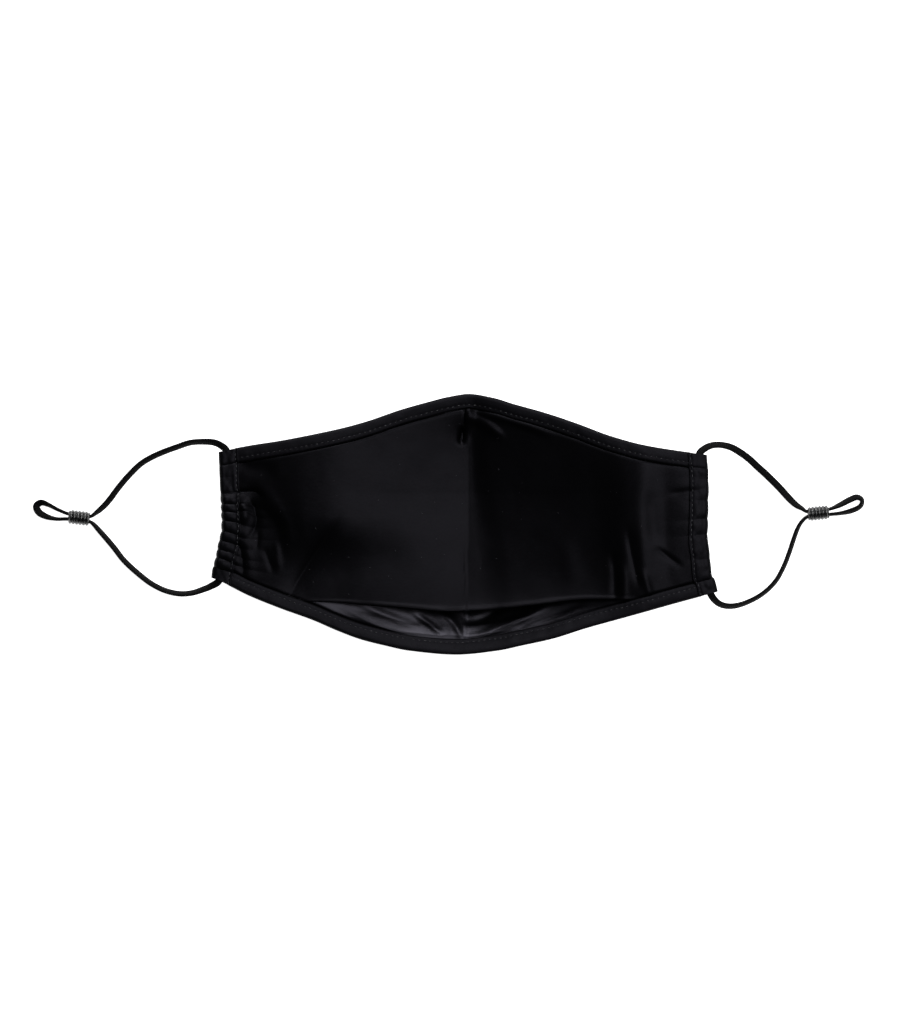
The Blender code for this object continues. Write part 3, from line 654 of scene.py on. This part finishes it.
def cloth_places(first_y, columns, rows):
    """x and y of a layer of cloth from the line first_y(x) to the nose edge."""
    share = cloth_columns(columns)[None, :]
    row = np.linspace(0, 1, rows)[:, None]
    inside = CASING_WIDTH - CLOTH_IN_CASING
    inset = 1.2 * MM
    edge_x = end_x(LEFT, 0.5, inside) * (1 - share) + end_x(RIGHT, 0.5, inside) * share
    height = nose_edge(edge_x) - chin_edge(edge_x)
    first = np.maximum((first_y(edge_x) - chin_edge(edge_x)) / height, inset / height)
    last = 1 - inset / height
    up = first + (last - first) * row
    x = end_x(LEFT, up, inside) * (1 - share) + end_x(RIGHT, up, inside) * share
    return x, height_between_edges(x, up)


def tape_section(width, under, over, fold, flat_points, fold_points):
    """A folded tape's section: inset from the edge, height, side (-1 under, 1 over), and run."""
    flat = np.linspace(width, fold, flat_points)
    turn = np.radians(np.linspace(-90, 90, fold_points + 2)[1:-1])
    middle, half = (under + over) / 2, (over - under) / 2
    inset = np.concatenate([flat, fold - fold * np.cos(turn), flat[::-1]])
    above = np.concatenate(
        [np.full(flat_points, under), middle + half * np.sin(turn), np.full(flat_points, over)]
    )
    side = np.clip((above - middle) / half, -1, 1)
    run = np.concatenate([[0], np.cumsum(np.hypot(np.diff(inset), np.diff(above)))])
    return inset, above, side, run


def binding_point(at_nose, share, inset, above):
    edge_up = 1.0 if at_nose else 0.0
    left, right = (end_x(side, edge_up, CASING_WIDTH - 1.5 * MM) for side in (LEFT, RIGHT))
    x = left + (right - left) * share
    part = inset / (nose_edge(x) - chin_edge(x))
    up = 1 - part if at_nose else part
    return surface_point(x, height_between_edges(x, up), above)


def binding(name, at_nose, finish):
    """A tape folded over the nose edge or the chin edge, with the dents of its stitches."""
    inset, above, side, run = tape_section(BINDING_WIDTH, TAPE_UNDER, TAPE_OVER, 1.3 * MM, 12, 7)
    share = np.linspace(0, 1, 420)[:, None]
    along = share * LENGTH
    seam = BINDING_SEAM * (1 + 0.04 * soft_noise(along, along, 11 * MM, 6))
    dent = np.exp(-(((inset - seam) / (0.7 * MM)) ** 2))
    held = 0.6 + 0.4 * np.cos(2 * np.pi * along / STITCH_PITCH)
    crown = np.clip(np.sin(np.pi * np.clip(inset / seam, 0, 1)), 0, 1)
    pucker = soft_noise(along, inset * 0.7, 4.5 * MM, 7 + at_nose)
    lift = 0.16 * MM * crown * (1 + pucker) - 0.20 * MM * dent * held
    lift = lift + 0.10 * MM * pucker
    points = binding_point(at_nose, share, inset + 0 * share, above + side * lift)
    uv = np.stack([along + 0 * run, run + 0 * along], axis=-1)
    return piece_from_grid(name, points, uv, finish, TAPE_WALL)


def casing_lift(side, up, inset):
    """How far the casing puffs out from where it would lie flat."""
    gather = GATHERS[side]
    wave = puffs(side, up) * gather_size[side](up)
    channel = np.clip(np.sin(np.pi * np.clip(inset / CASING_SEAM, 0, 1) ** 0.8), 0, 1) ** 0.6
    edge = np.minimum(up, 1 - up) * end_height(side)
    band = 1 - eased((edge - BINDING_WIDTH) / (0.5 * MM) + 0.5)
    dent = np.exp(-(((inset - CASING_SEAM) / (0.6 * MM)) ** 2))
    rough = soft_noise(inset * 1.4, up * end_height(side), 2.4 * MM, 12 + side)
    puff = gather.puff * wave * channel * (1 - band)
    return puff + 0.10 * MM * band + 0.16 * MM * rough - 0.30 * MM * dent


def casing_point(side, up, inset, above):
    gather = GATHERS[side]
    drawn = gather.scallop * gather_size[side](up) * (1 - puffs(side, up))
    edge = np.minimum(up, 1 - up) * end_height(side)
    drawn = drawn * eased(edge / BINDING_WIDTH) * (1 - np.clip(inset / CASING_WIDTH, 0, 1))
    x = end_x(side, up, inset + drawn)
    return surface_point(x, height_between_edges(x, up), above)


def casing(name, side, finish):
    """The gathered channel that is folded over one end of the mask."""
    inset, above, face, run = tape_section(CASING_WIDTH, CASING_UNDER, CASING_OVER, 1.7 * MM, 16, 9)
    up = np.linspace(0, 1, 300)[:, None]
    lift = casing_lift(side, up, inset)
    points = casing_point(side, up, inset, above + face * lift)
    uv = np.stack([up * end_height(side) + 0 * run, run + 0 * up], axis=-1)
    if side == LEFT:
        points, uv = points[::-1], uv[::-1]
    return piece_from_grid(name, points, uv, finish, TAPE_WALL)


def channel_point(side, up):
    """The middle of the casing's channel, where the elastic runs."""
    x = end_x(side, up, CHANNEL_INSET + GATHERS[side].scallop)
    return surface_point(x, height_between_edges(x, up), (CASING_UNDER + CASING_OVER) / 2)


def adjuster_axis(side):
    """The middle of an adjuster and the direction of its bore, away from the mask."""
    bead = ADJUSTERS[side]
    middle = np.array([side * (HALF_LENGTH + bead.out), bead.up, ADJUSTER_DIAMETER / 2])
    return middle, np.array([side * math.cos(bead.turn), math.sin(bead.turn) * side, 0.0])


def strand_in_adjuster(side, to_nose):
    middle, along = adjuster_axis(side)
    across = np.array([-along[1], along[0], 0.0]) * side
    beside = middle + across * (STRAND_SPACING / 2 if to_nose else -STRAND_SPACING / 2)
    reach = ADJUSTER_LENGTH / 2
    return [np.append(beside + along * reach * stop, 90.0) for stop in STRAND_STOPS]


def route_points(side, points):
    return [np.array([side * (HALF_LENGTH + p.out), p.up, p.height, p.turn]) for p in points]


def loop_route(side):
    """The elastic's points and turns: out of the casing at the nose, through the adjuster and its
    own tail, back into the casing at the chin, and up the channel to its beginning."""
    height = end_height(side)
    join = 1 - JOIN_DEPTH / height
    first = [np.append(channel_point(side, up), 0.0) for up in (join, (join + 1) / 2, 1.0)]
    last_up = join - JOIN_GAP / height
    last = [np.append(channel_point(side, up), 0.0) for up in np.linspace(0, last_up, CHANNEL_POINTS)]
    return np.array(
        first
        + route_points(side, NOSE_STRANDS[side])
        + strand_in_adjuster(side, True)
        + route_points(side, TAILS[side])
        + strand_in_adjuster(side, False)[::-1]
        + route_points(side, CHIN_STRANDS[side])
        + last
    )


def evenly_spaced(dense, step):
    runs = np.linalg.norm(np.diff(dense[:, :3], axis=0), axis=1)
    length = np.concatenate([[0.0], np.cumsum(runs)])
    wanted = np.linspace(0, length[-1], round(length[-1] / step) + 1)
    spaced = [np.interp(wanted, length, dense[:, axis]) for axis in range(dense.shape[1])]
    return np.stack(spaced, axis=1), wanted


def ear_loop(name, side, finish):
    """The flat braided elastic as a closed tube, and the points that it follows."""
    spaced, along = evenly_spaced(smooth_route(loop_route(side)), ELASTIC_STEP)
    line, turn = spaced[:, :3].copy(), np.radians(spaced[:, 3])
    half_height = np.hypot(ELASTIC_WIDTH / 2 * np.sin(turn), ELASTIC_WALL / 2 * np.cos(turn))
    line[:, 2] = np.maximum(line[:, 2], half_height + 0.1 * MM)
    for _ in range(4):
        line[1:-1, 2] = (line[:-2, 2] + 2 * line[1:-1, 2] + line[2:, 2]) / 4
    tangent = np.gradient(line, axis=0)
    tangent /= np.linalg.norm(tangent, axis=1, keepdims=True)
    beside = np.cross(tangent, (0.0, 0.0, 1.0))
    beside /= np.linalg.norm(beside, axis=1, keepdims=True)
    upright = np.cross(beside, tangent)
    lean = turn[:, None]
    wide = np.cos(lean) * beside + np.sin(lean) * upright
    thick = np.cos(lean) * upright - np.sin(lean) * beside

    round_it = np.linspace(0, 2 * np.pi, ELASTIC_SIDES, endpoint=False)
    across = np.sign(np.cos(round_it)) * np.abs(np.cos(round_it)) ** 0.75
    deep = np.sign(np.sin(round_it)) * np.abs(np.sin(round_it)) ** 0.75
    rib = RIB_DEPTH * np.cos(2 * np.pi * ELASTIC_RIBS * across / 2)
    widths, depths = ELASTIC_WIDTH / 2 * across, (ELASTIC_WALL / 2 + rib) * deep
    ring = widths[None, :, None] * wide[:, None] + depths[None, :, None] * thick[:, None]
    points = line[:, None] + ring
    count, sides = points.shape[:2]

    form = bmesh.new()
    layer = form.loops.layers.uv.new("cloth")
    verts = [[form.verts.new(p) for p in row] for row in points]
    for i in range(count - 1):
        for j in range(sides):
            k = (j + 1) % sides
            face = form.faces.new((verts[i][j], verts[i + 1][j], verts[i + 1][k], verts[i][k]))
            places = ((i, j), (i + 1, j), (i + 1, j + 1), (i, j + 1))
            for loop, (a, b) in zip(face.loops, places):
                loop[layer].uv = (along[a], b / sides)
            face.smooth = True
    form.faces.new(verts[0])
    form.faces.new(verts[-1][::-1])
    bmesh.ops.recalc_face_normals(form, faces=form.faces)
    mesh = bpy.data.meshes.new(name)
    form.to_mesh(mesh)
    form.free()
    mesh.materials.append(finish)
    made = bpy.data.objects.new(name, mesh)
    bpy.context.scene.collection.objects.link(made)
    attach(made, "root")
    return made, line


def ribbed_bead(name, side, finish):
    """A silicone slider: a sleeve whose rings lie side by side like the turns of a spring."""
    steps, sides = 130, 64
    top = ADJUSTER_LENGTH / 2
    turn = np.linspace(0, 2 * np.pi, sides, endpoint=False)
    place = np.linspace(-top, top, steps)
    phase = (place / ADJUSTER_LENGTH)[:, None] * BEAD_RINGS + turn[None, :] / (2 * np.pi)
    crest = np.abs(np.sin(np.pi * phase)) ** 0.6
    ends = 1 - 0.16 * np.abs(place / top)[:, None] ** 10
    outer = (ADJUSTER_DIAMETER / 2 - BEAD_GROOVE * (1 - crest)) * ends
    inner_radius = BORE_DIAMETER / 2 - 0.1 * MM
    form = bmesh.new()
    rings = []
    for height, radii in zip(place, outer):
        rings.append([(r * math.cos(a), r * math.sin(a), height) for r, a in zip(radii, turn)])
    for height in (top - 0.3 * MM, -top + 0.3 * MM):
        rings.append([(inner_radius * math.cos(a), inner_radius * math.sin(a), height) for a in turn])
    verts = [[form.verts.new(p) for p in ring] for ring in rings]
    order = list(range(steps)) + [steps, steps + 1, 0]
    for a, b in zip(order, order[1:]):
        for j in range(sides):
            k = (j + 1) % sides
            form.faces.new((verts[a][j], verts[a][k], verts[b][k], verts[b][j])).smooth = True
    bmesh.ops.recalc_face_normals(form, faces=form.faces)
    mesh = bpy.data.meshes.new(name)
    form.to_mesh(mesh)
    form.free()
    middle, along = adjuster_axis(side)
    across = np.array([-along[1], along[0], 0.0])
    count = len(mesh.vertices)
    flat = np.empty(count * 3)
    mesh.vertices.foreach_get("co", flat)
    local = flat.reshape(-1, 3)
    placed = middle + local[:, 2:] * along + local[:, :1] * across + local[:, 1:2] * (0, 0, 1)
    mesh.vertices.foreach_set("co", placed.ravel())
    mesh.update()
    mesh.materials.append(finish)
    made = bpy.data.objects.new(name, mesh)
    bpy.context.scene.collection.objects.link(made)
    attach(made, "root")
    return made


class Socket:
    """A node's output. Sums and products of it add Math nodes to its tree."""

    def __init__(self, tree, output):
        self.tree = tree
        self.output = output

    def math(self, operation, *values):
        inputs = dict(enumerate(values))
        return self.tree.node("ShaderNodeMath", {"operation": operation}, inputs)

    def __add__(self, other):
        return self.math("ADD", self, other)

    def __sub__(self, other):
        return self.math("SUBTRACT", self, other)

    def __rsub__(self, other):
        return self.math("SUBTRACT", other, self)

    def __mul__(self, other):
        return self.math("MULTIPLY", self, other)

    def __pow__(self, other):
        return self.math("POWER", self, other)

    __radd__ = __add__
    __rmul__ = __mul__

    def sine(self):
        return self.math("SINE", self)

    def size(self):
        return self.math("ABSOLUTE", self)


class Tree:
    """A node tree, of a material or of Geometry Nodes."""

    def __init__(self, tree):
        self.tree = tree

    def node(self, kind, settings=None, inputs=None, output=0):
        """Adds a node: its settings first, then the values or links of its sockets."""
        made = self.tree.nodes.new(kind)
        for name, value in (settings or {}).items():
            setattr(made, name, value)
        for name, value in (inputs or {}).items():
            if isinstance(value, Socket):
                self.tree.links.new(value.output, made.inputs[name])
            else:
                made.inputs[name].default_value = value
        return Socket(self, made.outputs[output])


class Finish(Tree):
    """A Principled material. Its look is set on the shader and varied by the tree's nodes."""

    def __init__(self, name, roughness, gloss, tint=WHITE):
        self.material = bpy.data.materials.new(name)
        self.material.use_nodes = True
        super().__init__(self.material.node_tree)
        self.shader = self.tree.nodes["Principled BSDF"]
        self.shader.inputs["Roughness"].default_value = roughness
        self.shader.inputs["Specular IOR Level"].default_value = gloss
        self.shader.inputs["Specular Tint"].default_value = (*tint, 1.0)

    def vary(self, socket, value):
        self.tree.links.new(value.output, self.shader.inputs[socket])

    def uv(self):
        """The place on the cloth in metres, as two sockets."""
        place = self.node("ShaderNodeUVMap", {"uv_map": "cloth"})
        both = self.node("ShaderNodeSeparateXYZ", {}, {0: place})
        return both, Socket(self, both.output.node.outputs[1])

    def noise(self, scale, detail=2.0, vector=None):
        inputs = {"Scale": scale, "Detail": detail}
        place = self.node("ShaderNodeTexCoord", {}, {}, 3)
        inputs["Vector"] = vector or place
        return self.node("ShaderNodeTexNoise", {}, inputs)

    def shade(self, dark, pale, mask):
        mixed = self.node(
            "ShaderNodeMix",
            {"data_type": "RGBA"},
            {0: mask, 6: (*dark, 1.0), 7: (*pale, 1.0)},
            2,
        )
        self.vary("Base Color", mixed)

    def relief(self, height, depth, strength=1.0):
        bump = self.node(
            "ShaderNodeBump", {}, {"Strength": strength, "Distance": depth, "Height": height}
        )
        self.vary("Normal", bump)


def woven(name, dark, pale, pitch, depth, lean, roughness, gloss, tint=VIOLET):
    """Woven cloth: threads this far apart, crossing square, or leaning for a twill or a satin."""
    finish = Finish(name, roughness, gloss, tint)
    u, v = finish.uv()
    wave = 2 * math.pi / pitch
    warp = ((u + v * lean) * wave).sine()
    weft = ((v - u * lean * 0.2) * wave).sine()
    mottle = finish.noise(55.0, 3.0)
    fuzz = finish.noise(900.0, 2.0)
    finish.shade(dark, pale, mottle * 0.6 + fuzz * 0.4)
    finish.vary("Roughness", roughness + (mottle - 0.5) * 0.10 + (fuzz - 0.5) * 0.06)
    finish.relief(warp * weft * 0.5 + fuzz * 0.7 + mottle * 0.4, depth)
    return finish.material


def braided(name, dark, pale, roughness, gloss):
    """Braided elastic: rows of chevrons along the cord."""
    finish = Finish(name, roughness, gloss)
    u, v = finish.uv()
    chevron = ((v * ELASTIC_RIBS * 4 * math.pi).sine().size() * 1.2 + u * (2 * math.pi / 0.0011)).sine()
    fuzz = finish.noise(1500.0, 2.0)
    finish.shade(dark, pale, chevron * 0.3 + fuzz * 0.5 + 0.2)
    finish.vary("Roughness", roughness + (fuzz - 0.5) * 0.15)
    finish.relief(chevron * 0.5 + fuzz * 0.5, 0.00012)
    return finish.material


def plain(name, dark, pale, scale, depth, roughness, gloss):
    finish = Finish(name, roughness, gloss)
    grain = finish.noise(scale, 3.0)
    finish.shade(dark, pale, grain)
    finish.vary("Roughness", roughness + (grain - 0.5) * 0.12)
    finish.relief(grain, depth)
    return finish.material


def input_of(tree, name, kind, value=None):
    made = tree.interface.new_socket(name, in_out="INPUT", socket_type=kind)
    if value is not None:
        made.default_value = value
    return made.identifier


def stitch_tree():
    """Stitches along a line: a short rounded thread at each step, laid along it."""
    tree = bpy.data.node_groups.new("stitches", "GeometryNodeTree")
    tree.interface.new_socket("Line", in_out="INPUT", socket_type="NodeSocketGeometry")
    sockets = {
        "Pitch": input_of(tree, "Pitch", "NodeSocketFloat"),
        "Length": input_of(tree, "Length", "NodeSocketFloat"),
        "Thread": input_of(tree, "Thread", "NodeSocketFloat"),
        "Wander": input_of(tree, "Wander", "NodeSocketFloat"),
        "Finish": input_of(tree, "Finish", "NodeSocketMaterial"),
    }
    tree.interface.new_socket("Stitches", in_out="OUTPUT", socket_type="NodeSocketGeometry")
    made = Tree(tree)
    group = tree.nodes.new("NodeGroupInput")
    given = {socket.name: Socket(made, socket) for socket in group.outputs if socket.name}
    curve = made.node("GeometryNodeMeshToCurve", {}, {"Mesh": given["Line"]})
    points = made.node(
        "GeometryNodeCurveToPoints", {"mode": "LENGTH"}, {"Curve": curve, "Length": given["Pitch"]}
    )
    tangent = Socket(made, points.output.node.outputs["Tangent"])
    along = made.node(
        "FunctionNodeAlignRotationToVector", {"axis": "X"}, {"Vector": tangent}
    )
    twist = made.node(
        "FunctionNodeRandomValue",
        {"data_type": "FLOAT_VECTOR"},
        {"Min": (-0.10, -0.10, -0.16), "Max": (0.10, 0.10, 0.16), "Seed": 4},
    )
    lean = made.node("FunctionNodeRotateRotation", {}, {"Rotation": along, "Rotate By": twist})
    thread = made.node(
        "GeometryNodeMeshUVSphere", {}, {"Segments": 8, "Rings": 6, "Radius": 1.0}
    )
    size = made.node(
        "ShaderNodeCombineXYZ",
        {},
        {0: given["Length"] * 0.5, 1: given["Thread"] * 0.5, 2: given["Thread"] * 0.5},
    )
    varied = made.node(
        "FunctionNodeRandomValue",
        {"data_type": "FLOAT"},
        {2: 0.8, 3: 1.15, "Seed": 9},
        1,
    )
    scale = made.node("ShaderNodeVectorMath", {"operation": "SCALE"}, {0: size, "Scale": varied})
    wander = made.node(
        "FunctionNodeRandomValue",
        {"data_type": "FLOAT_VECTOR"},
        {"Min": (-1.0, -1.0, -0.3), "Max": (1.0, 1.0, 0.3), "Seed": 14},
    )
    offset = made.node(
        "ShaderNodeVectorMath", {"operation": "SCALE"}, {0: wander, "Scale": given["Wander"]}
    )
    moved = made.node("GeometryNodeSetPosition", {}, {"Geometry": points, "Offset": offset})
    placed = made.node(
        "GeometryNodeInstanceOnPoints",
        {},
        {"Points": moved, "Instance": thread, "Rotation": lean, "Scale": scale},
    )
    solid = made.node("GeometryNodeRealizeInstances", {}, {"Geometry": placed})
    smooth = made.node("GeometryNodeSetShadeSmooth", {}, {0: solid})
    dressed = made.node(
        "GeometryNodeSetMaterial", {}, {"Geometry": smooth, "Material": given["Finish"]}
    )
    end = tree.nodes.new("NodeGroupOutput")
    tree.links.new(dressed.output, end.inputs[0])
    return tree, sockets


def stitches(name, points, pitch, length, thread, wander, finish, tree, sockets):
    """Stitches along these points, as a plain mesh."""
    line = bpy.data.meshes.new(name)
    edges = [(i, i + 1) for i in range(len(points) - 1)]
    line.from_pydata([tuple(point) for point in points], edges, [])
    source = bpy.data.objects.new(name + "_line", line)
    bpy.context.scene.collection.objects.link(source)
    sewn = source.modifiers.new("sewn", "NODES")
    sewn.node_group = tree
    values = {"Pitch": pitch, "Length": length, "Thread": thread, "Wander": wander, "Finish": finish}
    for socket, value in values.items():
        sewn[sockets[socket]] = value
    return settled(name, source)


def settled(name, source):
    """The source with its modifiers turned into a plain mesh, as a piece of its own."""
    bpy.context.view_layer.update()
    graph = bpy.context.evaluated_depsgraph_get()
    mesh = bpy.data.meshes.new_from_object(source.evaluated_get(graph), depsgraph=graph)
    mesh.name = name
    bpy.data.objects.remove(source)
    made = bpy.data.objects.new(name, mesh)
    bpy.context.scene.collection.objects.link(made)
    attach(made, "root")
    return made


def lint_tree():
    """Specks of lint scattered over cloth: short fibres at random places and turns."""
    tree = bpy.data.node_groups.new("lint", "GeometryNodeTree")
    tree.interface.new_socket("Cloth", in_out="INPUT", socket_type="NodeSocketGeometry")
    sockets = {
        "Density": input_of(tree, "Density", "NodeSocketFloat"),
        "Fibre": input_of(tree, "Fibre", "NodeSocketFloat"),
        "Thickness": input_of(tree, "Thickness", "NodeSocketFloat"),
        "Finish": input_of(tree, "Finish", "NodeSocketMaterial"),
    }
    tree.interface.new_socket("Lint", in_out="OUTPUT", socket_type="NodeSocketGeometry")
    made = Tree(tree)
    group = tree.nodes.new("NodeGroupInput")
    given = {socket.name: Socket(made, socket) for socket in group.outputs if socket.name}
    points = made.node(
        "GeometryNodeDistributePointsOnFaces",
        {},
        {"Mesh": given["Cloth"], "Density": given["Density"], "Seed": 5},
    )
    normal = Socket(made, points.output.node.outputs["Rotation"])
    spin = made.node(
        "FunctionNodeRandomValue",
        {"data_type": "FLOAT_VECTOR"},
        {"Min": (0.0, 0.0, 0.0), "Max": (0.0, 0.0, 6.28), "Seed": 8},
    )
    lean = made.node("FunctionNodeRotateRotation", {"rotation_space": "LOCAL"}, {"Rotation": normal, "Rotate By": spin})
    fibre = made.node("GeometryNodeMeshUVSphere", {}, {"Segments": 6, "Rings": 4, "Radius": 1.0})
    varied = made.node(
        "FunctionNodeRandomValue", {"data_type": "FLOAT"}, {2: 0.25, 3: 1.0, "Seed": 3}, 1
    )
    size = made.node(
        "ShaderNodeCombineXYZ",
        {},
        {0: given["Fibre"] * varied * 0.5, 1: given["Thickness"] * 0.5, 2: given["Thickness"] * 0.5},
    )
    placed = made.node(
        "GeometryNodeInstanceOnPoints",
        {},
        {"Points": points, "Instance": fibre, "Rotation": lean, "Scale": size},
    )
    solid = made.node("GeometryNodeRealizeInstances", {}, {"Geometry": placed})
    dressed = made.node(
        "GeometryNodeSetMaterial", {}, {"Geometry": solid, "Material": given["Finish"]}
    )
    end = tree.nodes.new("NodeGroupOutput")
    tree.links.new(dressed.output, end.inputs[0])
    return tree, sockets


def lint(name, points, density, finish):
    """Lint on a layer of cloth, given the grid of points of its face."""
    rows, columns = points.shape[:2]
    index = np.arange(rows * columns).reshape(rows, columns)
    corners = np.stack([index[:-1, :-1], index[:-1, 1:], index[1:, 1:], index[1:, :-1]], axis=-1)
    mesh = bpy.data.meshes.new(name)
    mesh.from_pydata(points.reshape(-1, 3).tolist(), [], corners.reshape(-1, 4).tolist())
    source = bpy.data.objects.new(name + "_field", mesh)
    bpy.context.scene.collection.objects.link(source)
    tree, sockets = lint_tree()
    strewn = source.modifiers.new("strewn", "NODES")
    strewn.node_group = tree
    values = {"Density": density, "Fibre": 0.9 * MM, "Thickness": 0.14 * MM, "Finish": finish}
    for socket, value in values.items():
        strewn[sockets[socket]] = value
    return settled(name, source)


def soft_light(name, toward, distance, size, power):
    """A square softbox in this direction from the mask, facing it."""
    data = bpy.data.lights.new(name, "AREA")
    data.shape = "SQUARE"
    data.size = size
    data.energy = power
    made = bpy.data.objects.new(name, data)
    direction = np.array(toward, float) / np.linalg.norm(toward)
    made.location = direction * distance
    bpy.context.scene.collection.objects.link(made)
    made.rotation_mode = "QUATERNION"
    made.rotation_quaternion = made.location.to_track_quat("Z", "Y")
    return made


def make_camera():
    data = bpy.data.cameras.new("camera")
    data.lens = SENSOR * (CAMERA_HEIGHT - MASK_LEVEL) / VIEW_HEIGHT
    data.sensor_width = SENSOR
    data.clip_end = 20.0
    camera = bpy.data.objects.new("camera", data)
    camera.location = (*CAMERA_AT, CAMERA_HEIGHT)
    bpy.context.scene.collection.objects.link(camera)
    bpy.context.scene.camera = camera


def make_stage():
    """A pale floor, a softbox to the right of the camera and a pale room."""
    mesh = bpy.data.meshes.new("floor")
    corners = [(-6, -6, 0), (6, -6, 0), (6, 6, 0), (-6, 6, 0)]
    mesh.from_pydata(corners, [], [(0, 1, 2, 3)])
    paper = Finish("paper", 0.9, 0.0)
    paper.shader.inputs["Base Color"].default_value = (0.92, 0.92, 0.92, 1.0)
    paper.shader.inputs["Emission Color"].default_value = (1.0, 1.0, 1.0, 1.0)
    paper.shader.inputs["Emission Strength"].default_value = 1.0
    mesh.materials.append(paper.material)
    floor = bpy.data.objects.new("floor", mesh)
    bpy.context.scene.collection.objects.link(floor)

    soft_light("key", (0.34, 0.18, 0.80), 1.1, 0.70, 10.0)
    soft_light("nose_side", (0.02, 0.90, 0.55), 1.2, 0.60, 14.0)
    world = bpy.data.worlds.new("room")
    bpy.context.scene.world = world
    world.use_nodes = True
    world.node_tree.nodes["Background"].inputs["Color"].default_value = (0.95, 0.97, 1.0, 1.0)
    world.node_tree.nodes["Background"].inputs["Strength"].default_value = 0.08
    bpy.context.scene.view_settings.view_transform = "Standard"


def build():
    make_camera()

    elastic = braided(
        "black_elastic", (0.0003, 0.0003, 0.0004), (0.0022, 0.0022, 0.0025), 0.55, 0.05
    )
    loops = {}
    for word, side in (("left", LEFT), ("right", RIGHT)):
        loop, line = ear_loop(f"{word}_elastic", side, elastic)
        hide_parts(f"{word}_ear_loop")
        loops[side] = (loop, line)

    cotton = woven(
        "black_cotton", (0.0003, 0.0003, 0.0004), (0.0006, 0.0006, 0.0007),
        0.42 * MM, 0.010 * MM, 0.0, 0.40, 0.042,
    )
    satin = woven(
        "black_satin", (0.0003, 0.0003, 0.0004), (0.0006, 0.0006, 0.0007),
        0.30 * MM, 0.006 * MM, 0.7, 0.31, 0.17,
    )
    tape = woven(
        "black_bias_tape", (0.0006, 0.0006, 0.0008), (0.0012, 0.0012, 0.0015),
        0.40 * MM, 0.02 * MM, 1.0, 0.58, 0.078,
    )
    channel = woven(
        "black_casing_cotton", (0.0004, 0.0004, 0.0006), (0.0009, 0.0009, 0.0011),
        0.42 * MM, 0.015 * MM, 0.0, 0.46, 0.055,
    )
    # The thread is black. Its pale base colour, far lighter than the cloth's, is a painted highlight for the glints
    # along the stitch lines.
    thread = plain(
        "black_thread_painted_glints", (0.006, 0.006, 0.007), (0.032, 0.032, 0.037), 2500.0, 0.03 * MM, 0.40,
        0.30,
    )
    silicone = plain(
        "dark_grey_silicone", (0.002, 0.002, 0.0022), (0.003, 0.003, 0.0034), 700.0, 0.003 * MM, 0.20,
        0.85,
    )
    fluff = plain(
        "pale_lint", (0.02, 0.02, 0.024), (0.07, 0.07, 0.08), 900.0, 0.02 * MM, 0.8,
        0.2,
    )

    x, y = cloth_places(chin_edge, 330, 138)
    outer_points = surface_point(x, y, OUTER_LAYER)
    outer = piece_from_grid(
        "outer_layer", outer_points, np.stack([x, y], axis=-1), satin, CLOTH_WALL
    )
    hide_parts("outer_cloth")

    x, y = cloth_places(hem_line, 330, 138)
    lining_points = surface_point(x, y, LINING_LAYER)
    lining_points[..., 2] += pocket_gape(x, y)
    lining_points[..., 2] += HEM_ROLL * np.exp(-(((y - hem_line(x) - MM) / (0.9 * MM)) ** 2))
    lining = piece_from_grid(
        "lining_layer", lining_points, np.stack([x, y], axis=-1), cotton, CLOTH_WALL
    )
    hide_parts("lining_cloth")

    top = binding("nose_binding_tape", True, tape)
    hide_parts("top_binding")
    bottom = binding("chin_binding_tape", False, tape)
    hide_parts("bottom_binding")
    for word, side in (("left", LEFT), ("right", RIGHT)):
        end = casing(f"{word}_gathered_casing", side, channel)
        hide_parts(f"{word}_casing")

    tree, sockets = stitch_tree()
    share = np.linspace(0.004, 0.996, 600)
    for word, at_nose in (("nose", True), ("chin", False)):
        for face, above in (("over", TAPE_OVER + 0.20 * MM), ("under", TAPE_UNDER - 0.20 * MM)):
            line = binding_point(at_nose, share, BINDING_SEAM + 0 * share, above)
            stitches(
                    f"{word}_seam_{face}", line, STITCH_PITCH, 1.2 * MM, 0.24 * MM, 0.14 * MM,
                    thread, tree, sockets,
                )
    up = np.linspace(0.01, 0.99, 300)
    for word, side in (("left", LEFT), ("right", RIGHT)):
        for face, above in (("over", CASING_OVER + 0.22 * MM), ("under", CASING_UNDER - 0.22 * MM)):
            line = casing_point(side, up, CASING_SEAM + 0 * up, above)
            stitches(
                    f"{word}_casing_seam_{face}", line, 2.3 * MM, 1.3 * MM, 0.34 * MM, 0.16 * MM,
                    thread, tree, sockets,
                )
    specks = lint("lint", lining_points[3:-8, 12:-12] + (0, 0, CLOTH_WALL / 2), 3200.0, fluff)

    for word, side in (("left", LEFT), ("right", RIGHT)):
        bead = ribbed_bead(f"{word}_slider", side, silicone)
        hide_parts(f"{word}_adjuster")
    for side, (loop, line) in loops.items():
        exit_point = channel_point(side, 1.0)
    make_stage()


build()
